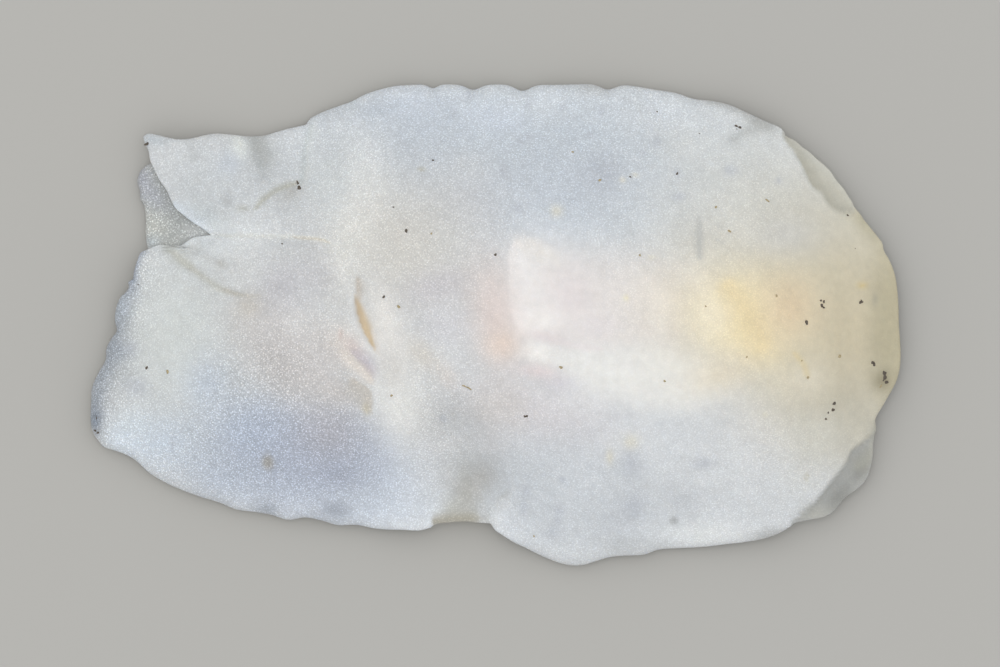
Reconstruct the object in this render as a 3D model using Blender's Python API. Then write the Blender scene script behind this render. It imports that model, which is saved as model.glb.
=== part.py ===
"""Oriental sea slug lying limp and flat on level ground: a still, life-size model.

The body lies along X with its head at +X and its left side at +Y, back up, its flat sole
on Z = 0 and its outline centred on the origin. An upper layer of flesh, parted by thin
cuts into the pieces that have names, lies over the foot and over the lobe that shows in
the notch of the tail. Places and sizes are in millimetres.
"""

from dataclasses import dataclass

import bpy
import numpy as np
from mathutils import Vector
from mathutils.geometry import delaunay_2d_cdt

MM = 0.001
TINY = 1e-5

# Heights and thicknesses
BACK_HEIGHT = 4.3  # the plateau of the back over the ground
GIZZARD_RISE = 1.0  # the swelling over the gizzard
MARGIN_HEIGHT = 0.75  # the upper surface at the margin
SHOULDER = 6.3  # how far in from the margin the back reaches its full height
SHEET = 0.6  # the least thickness of the upper layer
SHEET_BLEND = 0.25
FOOT_EDGE = 0.6
FOOT_MIDDLE = 1.0
FOOT_SHOULDER = 3.0
GROUND_CLEARANCE = 0.08  # under the drooping margins
GAP = 0.3  # between neighbours
DROOP_START = 0.9  # from the foot's edge out to where the upper layer sinks
DROOP_END = 2.3

# Edges and mesh
MARGIN_ROUND = 0.26
CUT_ROUND = 0.12
RIM_STEP = 0.5
INNER_STEP = 0.85
INNER_CLEARANCE = 0.55  # of a step, from the rim to the first point inside it
STEEPEST_SOFT = 0.36  # of the thickness, the most that an edge is rounded
SHARP_CORNER = 0.15  # sine of the turn from which a corner is kept sharp
CORNER_REACH = 2.0  # how far a sharp corner may move, in widths of the inset

# Where the outlines of the pieces meet
LEFT_HIND_CORNER = (-7.55, 8.05)
LEFT_LOBE_TIP = (-14.05, 7.6)
LEFT_LOBE_HEEL = (-11.7, 3.85)
NOTCH = (-11.0, 3.52)
FOLD_TIP = (-11.6, 3.62)
FOLD_HEEL = (-12.35, 2.65)
LOBE_CORNER = (-13.4, 3.3)
LOBE_HEEL = (-12.7, 2.75)
GROOVE_START = (-12.0, 2.15)
RIGHT_LOBE_FRONT = (-2.45, -7.9)
FLAP_CORNER = (-0.15, -7.85)
FLAP_ROOT = (0.8, -5.9)
VALLEY_START = (-2.5, -7.5)
VALLEY_END = (0.05, -7.25)
HEAD_RIGHT = (14.35, -5.15)
HEAD_LEFT = (13.75, 4.7)
NECK_LEFT = (-7.65, 5.8)
SHIELD_LEFT = (-6.95, 3.35)
SHIELD_RIGHT = (-4.35, -5.0)
FOOT_HEEL_LEFT = (-9.1, 5.0)
FOOT_HEEL_RIGHT = (-10.0, -2.8)

# Free margins, anticlockwise round the body
LEFT_LOBE_MARGIN = (
    LEFT_HIND_CORNER, (-8.0, 7.9), (-9.3, 7.6), (-11.0, 7.7), (-12.6, 7.45), LEFT_LOBE_TIP,
)
LEFT_LOBE_EDGE = (
    LEFT_LOBE_TIP, (-13.9, 7.15), (-13.75, 6.5), (-13.4, 5.8), (-12.75, 4.65), LEFT_LOBE_HEEL,
)
FOLD_EDGE = (FOLD_TIP, (-12.35, 3.4), (-12.6, 3.2), FOLD_HEEL)
LOBE_EDGE = (LOBE_HEEL, LOBE_CORNER)
LOBE_HIND_EDGE = (LOBE_CORNER, (-13.9, 3.1), (-14.35, 2.3))
RIGHT_LOBE_MARGIN = (
    (-14.35, 2.3), (-14.65, 1.7), (-15.2, 0.2), (-16.0, -1.8), (-16.18, -3.8), (-16.1, -4.4),
    (-15.8, -4.9), (-14.4, -5.5), (-12.6, -6.7), (-10.6, -7.25), (-8.0, -7.7), (-5.8, -8.1),
    (-3.8, -8.2), (-2.95, -8.25), RIGHT_LOBE_FRONT,
)
VALLEY_EDGE = (VALLEY_START, (-1.25, -7.35), VALLEY_END)
RIGHT_MARGIN = (
    FLAP_CORNER, (0.2, -8.3), (1.25, -8.9), (2.3, -9.45), (3.4, -9.64), (4.25, -9.35),
    (5.85, -9.2), (7.0, -8.95), (9.2, -8.8), (10.4, -8.65), (11.3, -8.4), (11.85, -8.1),
    (12.75, -7.3), (13.5, -6.45), (13.95, -5.9), HEAD_RIGHT,
)
HEAD_MARGIN = (
    HEAD_RIGHT, (14.85, -4.75), (15.25, -4.05), (15.2, -3.75), (15.6, -3.2), (16.1, -2.2),
    (16.18, 0.2), (16.0, 2.15), (15.6, 3.2), (15.0, 3.8), (14.1, 4.35), HEAD_LEFT,
)
LEFT_MARGIN = (
    HEAD_LEFT, (13.25, 5.2), (12.7, 5.7), (12.3, 6.45), (11.95, 7.05), (11.65, 7.55),
    (11.1, 8.1), (9.8, 8.6), (8.0, 9.1), (7.0, 9.45), (5.5, 9.58), (2.0, 9.64),
    (-2.5, 9.6), (-4.4, 9.3), (-5.7, 8.95), (-6.6, 8.6), (-7.45, 8.2), LEFT_HIND_CORNER,
)
LEFT_NICKS = (-2.45, -0.65, 1.15, 4.55)  # places along X of the nicks in the left margin
NICK_DEPTH = 0.18
NICK_WIDTH = 0.4

# Cuts between the pieces
LOBE_CUT = (NOTCH, (-9.3, 3.45), (-8.0, 3.4), SHIELD_LEFT)
GROOVE_CUT = (
    GROOVE_START, (-10.7, 1.35), (-9.1, 1.0), (-8.2, 0.2), (-7.8, -1.5), (-7.0, -3.4),
    (-5.8, -4.7), SHIELD_RIGHT,
)
NECK_CUT_LEFT = (LEFT_HIND_CORNER, (-7.6, 7.0), NECK_LEFT)
NECK_CUT_UPPER = (NECK_LEFT, (-7.4, 4.5), SHIELD_LEFT)
NECK_CUT_MIDDLE = (
    SHIELD_LEFT, (-5.8, 2.0), (-5.35, 0.6), (-4.8, -0.8), (-4.65, -2.4), SHIELD_RIGHT,
)
NECK_CUT_RIGHT = (SHIELD_RIGHT, (-3.5, -6.4), VALLEY_START)
LEFT_SIDE_CUT = (
    HEAD_LEFT, (13.0, 4.55), (11.0, 5.1), (8.0, 5.7), (3.0, 6.1), (-3.0, 6.1), NECK_LEFT,
)
RIGHT_SIDE_CUT = (FLAP_ROOT, (4.0, -5.95), (8.0, -5.7), (12.0, -5.35), HEAD_RIGHT)
FLAP_CUT = (FLAP_ROOT, (0.75, -6.4), (0.4, -6.8), VALLEY_END)

# The foot and the lobe under the tail
FOOT_EDGE_PLACES = (
    FOOT_HEEL_RIGHT, (-8.0, -5.2), (-5.0, -6.3), (-3.4, -7.1), (-2.4, -7.9), (-1.25, -7.9),
    (-0.2, -7.95), (0.8, -7.3), (3.0, -7.2), (8.0, -6.9), (11.0, -7.2), (12.2, -7.85),
    (12.9, -7.8), (13.4, -7.55), (14.05, -7.0), (14.9, -6.15), (15.1, -5.7), (15.2, -4.5),
    (15.0, -3.6), (15.3, -2.0), (15.4, 0.0), (15.3, 1.8), (15.35, 3.3), (15.0, 3.95),
    (14.55, 4.5), (13.75, 5.7), (13.0, 6.6), (12.0, 7.4), (11.0, 7.2), (8.0, 7.0),
    (3.0, 7.2), (-2.0, 7.1), (-6.0, 6.4), FOOT_HEEL_LEFT,
)
FOOT_HEEL = (FOOT_HEEL_LEFT, (-10.2, 3.0), (-10.6, 0.0), FOOT_HEEL_RIGHT)
PALLIAL_EDGE = (
    FOOT_HEEL_LEFT, (-10.4, 5.2), (-12.0, 5.6), (-13.2, 6.4), (-13.8, 6.5), (-14.2, 6.15),
    (-14.28, 5.75), (-14.0, 4.5), (-13.9, 3.0), (-13.5, 1.5), (-13.2, -1.2), (-12.2, -3.0),
    FOOT_HEEL_RIGHT,
)

# Folds pressed into the back: the line, how deep and how wide
NECK_LINE = ((-7.6, 7.0), (-7.4, 4.5), (-6.2, 2.4), (-5.0, -0.4), (-4.65, -2.4), (-3.8, -5.8))
NECK_FOLD = (NECK_LINE, 0.7, 1.3)
VALLEY = (((-1.9, -4.6), (-1.1, -6.2), (-1.3, -7.9)), 1.5, 1.1)
GROOVE_FOLD = (((-12.0, 2.15), (-10.7, 1.35), (-9.1, 1.0)), 0.35, 0.5)
LOBE_FOLD = (((-11.0, 3.5), (-8.0, 3.4), (-6.6, 3.1)), 0.45, 0.6)
NOTCH_LINE = ((-13.6, 5.6), NOTCH, (-12.5, 3.1))
NOTCH_STEEPNESS = 2.2  # the shoulder is this much shorter beside the notch
DEPTH_BLEND = 1.5
GIZZARD = (3.5, 0.0)
GIZZARD_REACH = (6.5, 3.8)


@dataclass(frozen=True)
class Finish:
    """Colour in linear light and gloss of one kind of flesh."""

    name: str
    colour: tuple
    roughness: float


FRONT_SKIN = Finish("front_skin", (0.66, 0.66, 0.62), 0.3)
TAIL_SKIN = Finish("tail_skin", (0.58, 0.60, 0.61), 0.32)
UNDER_SKIN = Finish("under_skin", (0.42, 0.42, 0.39), 0.34)


@dataclass(frozen=True)
class Stretch:
    """One stretch of an outline, anticlockwise: a free margin, or one side of a cut."""

    places: tuple
    is_cut: bool = False
    nicks: tuple = ()

    def sampled(self):
        """Points along the stretch at about the rim's step, both ends included."""
        path = smooth_path(self.places, RIM_STEP)
        for nick in self.nicks:
            path[:, 1] -= NICK_DEPTH * np.exp(-(((path[:, 0] - nick) / NICK_WIDTH) ** 2))
        return path


def smooth_path(places, step):
    """A smooth curve through the places, sampled at about even steps."""
    places = np.array(places, float)
    chords = np.linalg.norm(np.diff(places, axis=0), axis=1)
    knots = np.concatenate([[0.0], np.cumsum(chords)])
    slopes = np.gradient(places, knots, axis=0)
    along = np.linspace(0.0, knots[-1], max(2, round(knots[-1] / step) + 1))
    index = np.clip(np.searchsorted(knots, along, side="right") - 1, 0, len(chords) - 1)
    span = chords[index][:, None]
    t = (along - knots[index])[:, None] / span
    rise = t * t * (3.0 - 2.0 * t)
    leave = t * (1.0 - t) ** 2 * span
    arrive = -t * t * (1.0 - t) * span
    start, end = places[index], places[index + 1]
    return start + (end - start) * rise + slopes[index] * leave + slopes[index + 1] * arrive


def smoothstep(value):
    """Rises from 0 to 1 with level ends while the value goes from 0 to 1."""
    t = np.clip(value, 0.0, 1.0)
    return t * t * (3.0 - 2.0 * t)


def smooth_maximum(first, second, blend):
    """The larger of two heights, blended where they are close."""
    return (first + second + np.sqrt((first - second) ** 2 + blend**2)) / 2.0


def path_distance(points, path):
    """Distance from each point to an open path."""
    start, run = path[:-1], np.diff(path, axis=0)
    offset = points[:, None, :] - start[None]
    share = np.clip((offset * run).sum(2) / (run * run).sum(1), 0.0, 1.0)
    return np.linalg.norm(offset - share[..., None] * run, axis=2).min(axis=1)


def inside_distance(points, ring):
    """Distance from each point to a closed ring, positive inside it."""
    closed = np.vstack([ring, ring[:1]])
    start, end = closed[:-1], closed[1:]
    x, y = points[:, :1], points[:, 1:]
    spans = (start[:, 1] > y) != (end[:, 1] > y)
    height = np.where(end[:, 1] == start[:, 1], 1.0, end[:, 1] - start[:, 1])
    crossing = start[:, 0] + (y - start[:, 1]) * (end[:, 0] - start[:, 0]) / height
    odd = (spans & (x < crossing)).sum(axis=1) % 2 == 1
    return np.where(odd, 1.0, -1.0) * path_distance(points, closed)


def joined(stretches):
    """The corners of the closed outline, and whether the edge after each is a cut."""
    paths = [stretch.sampled()[:-1] for stretch in stretches]
    cuts = [np.full(len(path), stretch.is_cut) for path, stretch in zip(paths, stretches)]
    return np.vstack(paths), np.concatenate(cuts)


def inset(ring, distances):
    """The ring moved in by a distance for each of its edges, corners kept."""
    run = np.roll(ring, -1, axis=0) - ring
    normal = np.stack([-run[:, 1], run[:, 0]], axis=1) / np.linalg.norm(run, axis=1)[:, None]
    before, far = np.roll(normal, 1, axis=0), np.roll(distances, 1)
    turn = before[:, 0] * normal[:, 1] - before[:, 1] * normal[:, 0]
    sharp = np.abs(turn) > SHARP_CORNER
    safe = np.where(sharp, turn, 1.0)
    corner = np.stack(
        [
            (far * normal[:, 1] - distances * before[:, 1]) / safe,
            (distances * before[:, 0] - far * normal[:, 0]) / safe,
        ],
        axis=1,
    )
    middle = before + normal
    middle /= np.linalg.norm(middle, axis=1)[:, None]
    gentle = middle * ((far + distances) / 2.0)[:, None]
    shift = np.where(sharp[:, None], corner, gentle)
    length = np.linalg.norm(shift, axis=1)
    limit = CORNER_REACH * np.maximum(far, distances)
    kept = np.where(length > limit, limit / np.maximum(length, limit + TINY), 1.0)
    return ring + shift * kept[:, None]


def inner_lattice(ring):
    """Even triangular lattice of points inside the ring, clear of it."""
    low, high = ring.min(axis=0), ring.max(axis=0)
    columns = np.arange(low[0], high[0], INNER_STEP)
    rows = np.arange(low[1], high[1], INNER_STEP * np.sqrt(0.75))
    x, y = np.meshgrid(columns, rows)
    x[1::2] += INNER_STEP / 2.0
    points = np.stack([x.ravel(), y.ravel()], axis=1)
    return points[inside_distance(points, ring) > INNER_CLEARANCE * INNER_STEP]


def sheet_triangles(ring):
    """Points of the ring, then those inside it, and the triangles over them."""
    points = np.vstack([ring, inner_lattice(ring)])
    flat = [Vector(point) for point in points]
    edges = [(k, (k + 1) % len(ring)) for k in range(len(ring))]
    corners, _, faces, *_ = delaunay_2d_cdt(flat, edges, [], 1, TINY)
    if len(corners) != len(points):
        raise ValueError(f"an outline crosses itself near {corners[len(points):]}")
    return np.array(corners), [tuple(face) for face in faces]


def slab(name, stretches, top, bottom, finish):
    """Builds one piece of flesh between two height functions over its outline.

    The rim is a straight wall with its upper and lower edges rounded off, and both
    faces of the piece are split into the same triangles.
    """
    outline, is_cut = joined(stretches)
    gap = np.where(is_cut, GAP / 2.0, 0.0)
    rounding = np.where(is_cut, CUT_ROUND, MARGIN_ROUND)
    outer = inset(outline, gap)
    inner = inset(outline, gap + rounding)
    sheet, triangles = sheet_triangles(inner)
    high, low = top(sheet), bottom(sheet)
    count, rim = len(sheet), len(outline)
    widest = np.maximum(rounding, np.roll(rounding, 1))
    soft = np.minimum(widest, STEEPEST_SOFT * (high - low)[:rim])
    upper_wall = np.column_stack([outer, high[:rim] - soft])
    lower_wall = np.column_stack([outer, low[:rim] + soft])
    points = np.vstack([
        np.column_stack([sheet, high]), np.column_stack([sheet, low]), upper_wall, lower_wall,
    ])
    rings = [
        np.arange(rim), 2 * count + np.arange(rim), 2 * count + rim + np.arange(rim),
        count + np.arange(rim),
    ]
    faces = list(triangles)
    faces += [tuple(count + corner for corner in reversed(face)) for face in triangles]
    for above, below in zip(rings, rings[1:]):
        for k in range(rim):
            after = (k + 1) % rim
            faces.append((above[k], below[k], below[after]))
            faces.append((above[k], below[after], above[after]))
    mesh = bpy.data.meshes.new(name)
    mesh.from_pydata((points * MM).tolist(), [], [tuple(map(int, face)) for face in faces])
    mesh.shade_smooth()
    mesh.materials.append(flesh(finish))
    piece = bpy.data.objects.new(name, mesh)
    bpy.context.scene.collection.objects.link(piece)
    return piece


def flesh(finish):
    """The material of one kind of flesh, made once."""
    known = bpy.data.materials.get(finish.name)
    if known:
        return known
    material = bpy.data.materials.new(finish.name)
    material.use_nodes = True
    surface = material.node_tree.nodes["Principled BSDF"]
    surface.inputs["Base Color"].default_value = (*finish.colour, 1.0)
    surface.inputs["Roughness"].default_value = finish.roughness
    surface.inputs["Metallic"].default_value = 0.0
    return material


def free(places, nicks=()):
    """A stretch of outline along a free margin."""
    return Stretch(places, False, nicks)


def cut(places):
    """A stretch of outline along one side of a cut."""
    return Stretch(places, True)


FOOT_OUTLINE = (free(FOOT_EDGE_PLACES), cut(FOOT_HEEL))
PALLIAL_OUTLINE = (free(PALLIAL_EDGE), cut(FOOT_HEEL[::-1]))
UPPER_OUTLINE = (
    free(LEFT_LOBE_MARGIN), free((LEFT_LOBE_TIP, LOBE_CORNER)), free(LOBE_HIND_EDGE),
    free(RIGHT_LOBE_MARGIN), free((RIGHT_LOBE_FRONT, *VALLEY_EDGE, FLAP_CORNER)),
    free(RIGHT_MARGIN), free(HEAD_MARGIN), free(LEFT_MARGIN),
)

FOOT_RING = joined(FOOT_OUTLINE)[0]
PALLIAL_RING = joined(PALLIAL_OUTLINE)[0]
UPPER_RING = joined(UPPER_OUTLINE)[0]


def under_top(points):
    """Upper surface of the foot, thicker in the middle, and of the lobe behind it."""
    depth = inside_distance(points, FOOT_RING)
    return FOOT_EDGE + (FOOT_MIDDLE - FOOT_EDGE) * smoothstep(depth / FOOT_SHOULDER)


def sole(points):
    """The flat that the body rests on."""
    return np.zeros(len(points))


def upper_bottom(points):
    """Underside of the upper layer: over the foot and lobe, then sinking to the ground."""
    outside = -np.maximum(
        inside_distance(points, FOOT_RING), inside_distance(points, PALLIAL_RING)
    )
    droop = smoothstep((outside - DROOP_START) / (DROOP_END - DROOP_START))
    over = under_top(points) + GAP
    return over + (GROUND_CLEARANCE - over) * droop


def shoulder(depth):
    """How full the back is at a depth in from the margin, from 0 to 1."""
    t = np.clip(depth / SHOULDER, 0.0, 1.0)
    return 0.5 * (1.0 - (1.0 - t) ** 2) + 0.5 * smoothstep(t)


def upper_top(folds):
    """The back's height function, with its swelling and the folds pressed into it."""

    def height(points):
        notch = path_distance(points, np.array(NOTCH_LINE))
        margin = inside_distance(points, UPPER_RING)
        depth = -smooth_maximum(-margin, -NOTCH_STEEPNESS * notch, DEPTH_BLEND)
        back = MARGIN_HEIGHT + (BACK_HEIGHT - MARGIN_HEIGHT) * shoulder(depth)
        away = (points - GIZZARD) / GIZZARD_REACH
        back += GIZZARD_RISE * np.exp(-(away**2).sum(axis=1))
        for line, deep, wide in folds:
            distance = path_distance(points, smooth_path(line, INNER_STEP))
            back -= deep * np.exp(-((distance / wide) ** 2))
        return smooth_maximum(back, upper_bottom(points) + SHEET, SHEET_BLEND)

    return height


def build():
    """Makes every piece of the slug."""
    for piece in list(bpy.data.objects):
        bpy.data.objects.remove(piece)

    slab("foot", FOOT_OUTLINE, under_top, sole, UNDER_SKIN)
    slab("pallial_lobe", PALLIAL_OUTLINE, under_top, sole, UNDER_SKIN)

    slab(
        "tail_lobe_left",
        (
            free(LEFT_LOBE_MARGIN), free(LEFT_LOBE_EDGE), cut((LEFT_LOBE_HEEL, NOTCH)),
            cut(LOBE_CUT), cut(NECK_CUT_UPPER[::-1]), cut(NECK_CUT_LEFT[::-1]),
        ),
        upper_top((NECK_FOLD, LOBE_FOLD)), upper_bottom, TAIL_SKIN,
    )
    slab(
        "mantle_shield",
        (
            cut(LOBE_CUT[::-1]), cut((NOTCH, FOLD_TIP)), free(FOLD_EDGE),
            cut((FOLD_HEEL, GROOVE_START)), cut(GROOVE_CUT), cut(NECK_CUT_MIDDLE[::-1]),
        ),
        upper_top((NECK_FOLD, LOBE_FOLD, GROOVE_FOLD)), upper_bottom, TAIL_SKIN,
    )
    slab(
        "tail_lobe_right",
        (
            free(LOBE_EDGE), free(LOBE_HIND_EDGE), free(RIGHT_LOBE_MARGIN),
            free((RIGHT_LOBE_FRONT, VALLEY_START)), cut(NECK_CUT_RIGHT[::-1]), cut(GROOVE_CUT[::-1]), cut((GROOVE_START, LOBE_HEEL)),
        ),
        upper_top((NECK_FOLD, GROOVE_FOLD)), upper_bottom, TAIL_SKIN,
    )
    slab(
        "head_shield",
        (
            free(VALLEY_EDGE), cut(FLAP_CUT[::-1]),
            cut(RIGHT_SIDE_CUT), free(HEAD_MARGIN), cut(LEFT_SIDE_CUT), cut(NECK_CUT_UPPER),
            cut(NECK_CUT_MIDDLE), cut(NECK_CUT_RIGHT),
        ),
        upper_top((NECK_FOLD, VALLEY)), upper_bottom, FRONT_SKIN,
    )
    slab(
        "parapodium_right",
        (
            free(RIGHT_MARGIN), cut(RIGHT_SIDE_CUT[::-1]), cut(FLAP_CUT),
            free((VALLEY_END, FLAP_CORNER)),
        ),
        upper_top(()), upper_bottom, FRONT_SKIN,
    )
    slab(
        "parapodium_left",
        (free(LEFT_MARGIN, LEFT_NICKS), cut(NECK_CUT_LEFT), cut(LEFT_SIDE_CUT[::-1])),
        upper_top((NECK_FOLD,)), upper_bottom, FRONT_SKIN,
    )


build()
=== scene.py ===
"""Looks of the oriental sea slug: one wet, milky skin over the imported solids.

The animal lies along X with its head at +X and its left side at +Y, back up and sole on
Z = 0. Places and sizes are in millimetres and turns in degrees, and a mesh is turned into
metres as it is made. Colours are given as sRGB numbers from 0 to 255.
"""

import logging
from dataclasses import dataclass
from enum import Enum
from typing import Protocol

import bpy
import numpy as np
from numpy.typing import NDArray
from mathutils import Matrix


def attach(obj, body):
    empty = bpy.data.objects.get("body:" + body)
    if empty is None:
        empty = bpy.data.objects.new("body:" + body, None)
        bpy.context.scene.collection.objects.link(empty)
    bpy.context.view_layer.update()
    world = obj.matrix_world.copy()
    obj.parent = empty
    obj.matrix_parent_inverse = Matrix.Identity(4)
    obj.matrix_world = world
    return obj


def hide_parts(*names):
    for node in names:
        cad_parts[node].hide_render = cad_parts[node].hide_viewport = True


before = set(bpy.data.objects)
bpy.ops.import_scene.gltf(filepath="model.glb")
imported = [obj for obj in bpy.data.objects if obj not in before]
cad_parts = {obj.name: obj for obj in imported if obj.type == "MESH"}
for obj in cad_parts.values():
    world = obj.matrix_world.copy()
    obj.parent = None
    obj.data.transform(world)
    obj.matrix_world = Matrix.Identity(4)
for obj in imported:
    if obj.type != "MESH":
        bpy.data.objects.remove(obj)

Array = NDArray[np.float64]
Numbers = NDArray[np.int64]
Place = tuple[float, float]
Places = tuple[Place, ...]
Colour = tuple[int, int, int]

MM = 0.001
TINY = 1e-9
LEAST_SQUARE = 1e-4
LINE_STEP = 0.2
LEAST_END = 0.01
END_GAIN = 2.5
log = logging.getLogger("sea_slug")

# The line along the middle of the body from which the skin's rays go out
SPINE = ((-9.0, 2.62), (-6.0, 1.6), (-2.0, 0.9), (3.0, 0.3), (9.0, 0.0))

# Corners where stretches of the upper layer's margin meet
LEFT_HIND_CORNER = (-7.54, 8.04)
LEFT_LOBE_TIP = (-14.06, 7.57)
NOTCH = (-11.36, 3.6)
FOLD_TIP = (-12.54, 3.18)
LOBE_CORNER = (-13.42, 3.22)
LOBE_TOOTH = (-14.66, 1.74)
RIGHT_LOBE_FRONT = (-2.58, -8.12)
FLAP_CORNER = (-0.15, -7.95)
HEAD_RIGHT = (15.1, -5.57)
HEAD_LEFT = (11.67, 7.55)

# The upper layer's margin, anticlockwise
LEFT_LOBE_MARGIN = (
    LEFT_HIND_CORNER, (-7.9, 7.95), (-8.3, 7.86), (-8.72, 7.74), (-9.15, 7.61), (-9.86, 7.56),
    (-10.65, 7.64), (-11.19, 7.67), (-11.54, 7.62), (-11.94, 7.52), (-12.3, 7.45), (-12.62, 7.43),
    (-12.97, 7.48), (-13.44, 7.6), (-13.94, 7.64), LEFT_LOBE_TIP,
)
LEFT_LOBE_EDGE = (
    LEFT_LOBE_TIP, (-14.04, 7.39), (-13.86, 7.0), (-13.78, 6.57), (-13.62, 6.22), (-13.4, 5.78),
    (-13.15, 5.43), (-12.97, 5.04), (-12.8, 4.72), (-12.44, 4.39), (-12.08, 4.11), (-11.66, 3.84),
    NOTCH,
)
FOLD_EDGE = (NOTCH, (-11.72, 3.57), (-12.01, 3.52), (-12.3, 3.36), FOLD_TIP)
GROOVE_MOUTH = (FOLD_TIP, (-12.95, 3.18), LOBE_CORNER)
LOBE_HIND_EDGE = (
    LOBE_CORNER, (-13.7, 3.12), (-13.9, 3.02), (-14.18, 2.88), (-14.27, 2.64), (-14.36, 2.4),
    (-14.44, 2.1), (-14.48, 1.82), LOBE_TOOTH,
)
RIGHT_LOBE_MARGIN = (
    LOBE_TOOTH, (-14.64, 1.48), (-14.98, 1.1), (-15.18, 0.55), (-15.2, 0.15), (-15.12, -0.22),
    (-15.36, -0.56), (-15.54, -0.94), (-15.58, -1.4), (-15.86, -1.9), (-16.12, -2.5), (-16.16, -3.15),
    (-16.18, -3.7), (-16.1, -4.25), (-15.9, -4.6), (-15.61, -4.9), (-15.19, -5.03), (-14.5, -5.33),
    (-13.81, -5.93), (-13.11, -6.35), (-12.42, -6.65), (-11.73, -6.9), (-11.03, -7.11),
    (-10.34, -7.39), (-9.65, -7.48), (-8.96, -7.6), (-8.26, -7.8), (-7.57, -7.71), (-6.88, -7.84),
    (-6.32, -8.01), (-5.49, -8.01), (-4.8, -8.15), (-3.68, -8.2), (-2.92, -8.21), RIGHT_LOBE_FRONT,
)
VALLEY_EDGE = (
    RIGHT_LOBE_FRONT, (-2.36, -7.98), (-1.86, -7.91), (-1.15, -7.87), (-0.65, -7.91), FLAP_CORNER,
)
RIGHT_MARGIN = (
    FLAP_CORNER, (-0.01, -8.18), (0.28, -8.39), (0.7, -8.66), (1.28, -8.94), (1.7, -9.16),
    (2.17, -9.37), (2.6, -9.53), (3.02, -9.62), (3.5, -9.62), (4.0, -9.48), (4.57, -9.31),
    (5.15, -9.24), (6.0, -9.19), (6.6, -8.99), (7.16, -8.95), (8.46, -8.88), (9.18, -8.79),
    (10.04, -8.69), (10.91, -8.52), (11.42, -8.32), (11.78, -8.11), (12.06, -7.93), (12.31, -7.86),
    (12.74, -7.78), (13.2, -7.68), (13.49, -7.54), (13.78, -7.22), (14.06, -6.89), (14.42, -6.64),
    (14.74, -6.36), (14.99, -5.96), HEAD_RIGHT,
)
HEAD_MARGIN = (
    HEAD_RIGHT, (15.14, -5.22), (15.15, -4.86), (15.2, -4.5), (15.28, -4.18), (15.24, -3.78),
    (15.31, -3.61), (15.49, -3.32), (15.67, -3.0), (16.1, -2.2), (16.18, 0.2), (16.12, 1.44),
    (16.02, 2.04), (15.79, 2.63), (15.57, 3.02), (15.53, 3.28), (15.38, 3.48), (15.0, 3.96),
    (14.78, 4.22), (14.64, 4.44), (14.41, 4.71), (14.31, 4.94), (14.13, 5.22),
    (13.95, 5.5), (13.67, 5.83), (13.47, 6.14), (13.24, 6.37), (12.86, 6.7), (12.55, 6.98),
    (12.35, 7.11), (12.09, 7.34), (11.86, 7.48), HEAD_LEFT,
)
LEFT_MARGIN = (
    HEAD_LEFT, (11.53, 7.82), (11.33, 7.96), (10.92, 8.13), (10.08, 8.52), (9.39, 8.82),
    (8.7, 8.98), (8.0, 9.05), (7.31, 9.28), (6.48, 9.42), (5.5, 9.58), (2.0, 9.62),
    (-2.2, 9.64), (-3.35, 9.62), (-3.99, 9.57), (-4.42, 9.48), (-4.85, 9.36), (-5.27, 9.2),
    (-5.7, 8.97), (-6.34, 8.74), (-6.98, 8.49), (-7.45, 8.2), LEFT_HIND_CORNER,
)
UPPER_MARGIN = (
    LEFT_LOBE_MARGIN, LEFT_LOBE_EDGE, FOLD_EDGE, GROOVE_MOUTH, LOBE_HIND_EDGE,
    RIGHT_LOBE_MARGIN, VALLEY_EDGE, RIGHT_MARGIN, HEAD_MARGIN, LEFT_MARGIN,
)

# The foot's edge and the edge of the lobe behind it, anticlockwise
FOOT_HEEL_RIGHT = (-10.0, -2.8)
FOOT_HEEL_LEFT = (-9.1, 5.0)
FOOT_EDGE = (
    FOOT_HEEL_RIGHT, (-8.0, -5.2), (-5.0, -6.3), (-3.4, -7.1), (-2.4, -7.82), (-1.25, -7.77),
    (-0.2, -7.8), (0.8, -7.3), (3.0, -7.2), (8.0, -6.9), (11.0, -7.2), (12.2, -7.76),
    (12.9, -7.65), (13.4, -7.45), (14.0, -6.83), (14.68, -6.22), (14.97, -5.6), (15.02, -4.9),
    (15.0, -3.6), (15.3, -2.0), (15.4, 0.0), (15.3, 1.8), (15.2, 3.1), (14.8, 4.05),
    (14.26, 4.75), (13.57, 5.72), (12.77, 6.6), (12.0, 7.2), (11.0, 7.2), (8.0, 7.0),
    (3.0, 7.2), (-2.0, 7.1), (-6.0, 6.4), FOOT_HEEL_LEFT,
)
FOOT_HEEL = (FOOT_HEEL_LEFT, (-10.2, 3.0), (-10.6, 0.0), FOOT_HEEL_RIGHT)
PALLIAL_EDGE = (
    FOOT_HEEL_LEFT, (-10.4, 5.0), (-11.8, 5.6), (-13.0, 6.25), (-13.78, 6.48), (-14.04, 6.32),
    (-14.26, 6.0), (-14.31, 5.72), (-14.22, 5.43), (-14.19, 5.04), (-14.04, 4.78), (-13.99, 4.43),
    (-13.97, 4.07), (-13.99, 3.72), (-13.94, 3.28), (-13.86, 2.9), (-13.6, 1.8), (-13.2, -1.2),
    (-12.2, -3.0), FOOT_HEEL_RIGHT,
)

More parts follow.
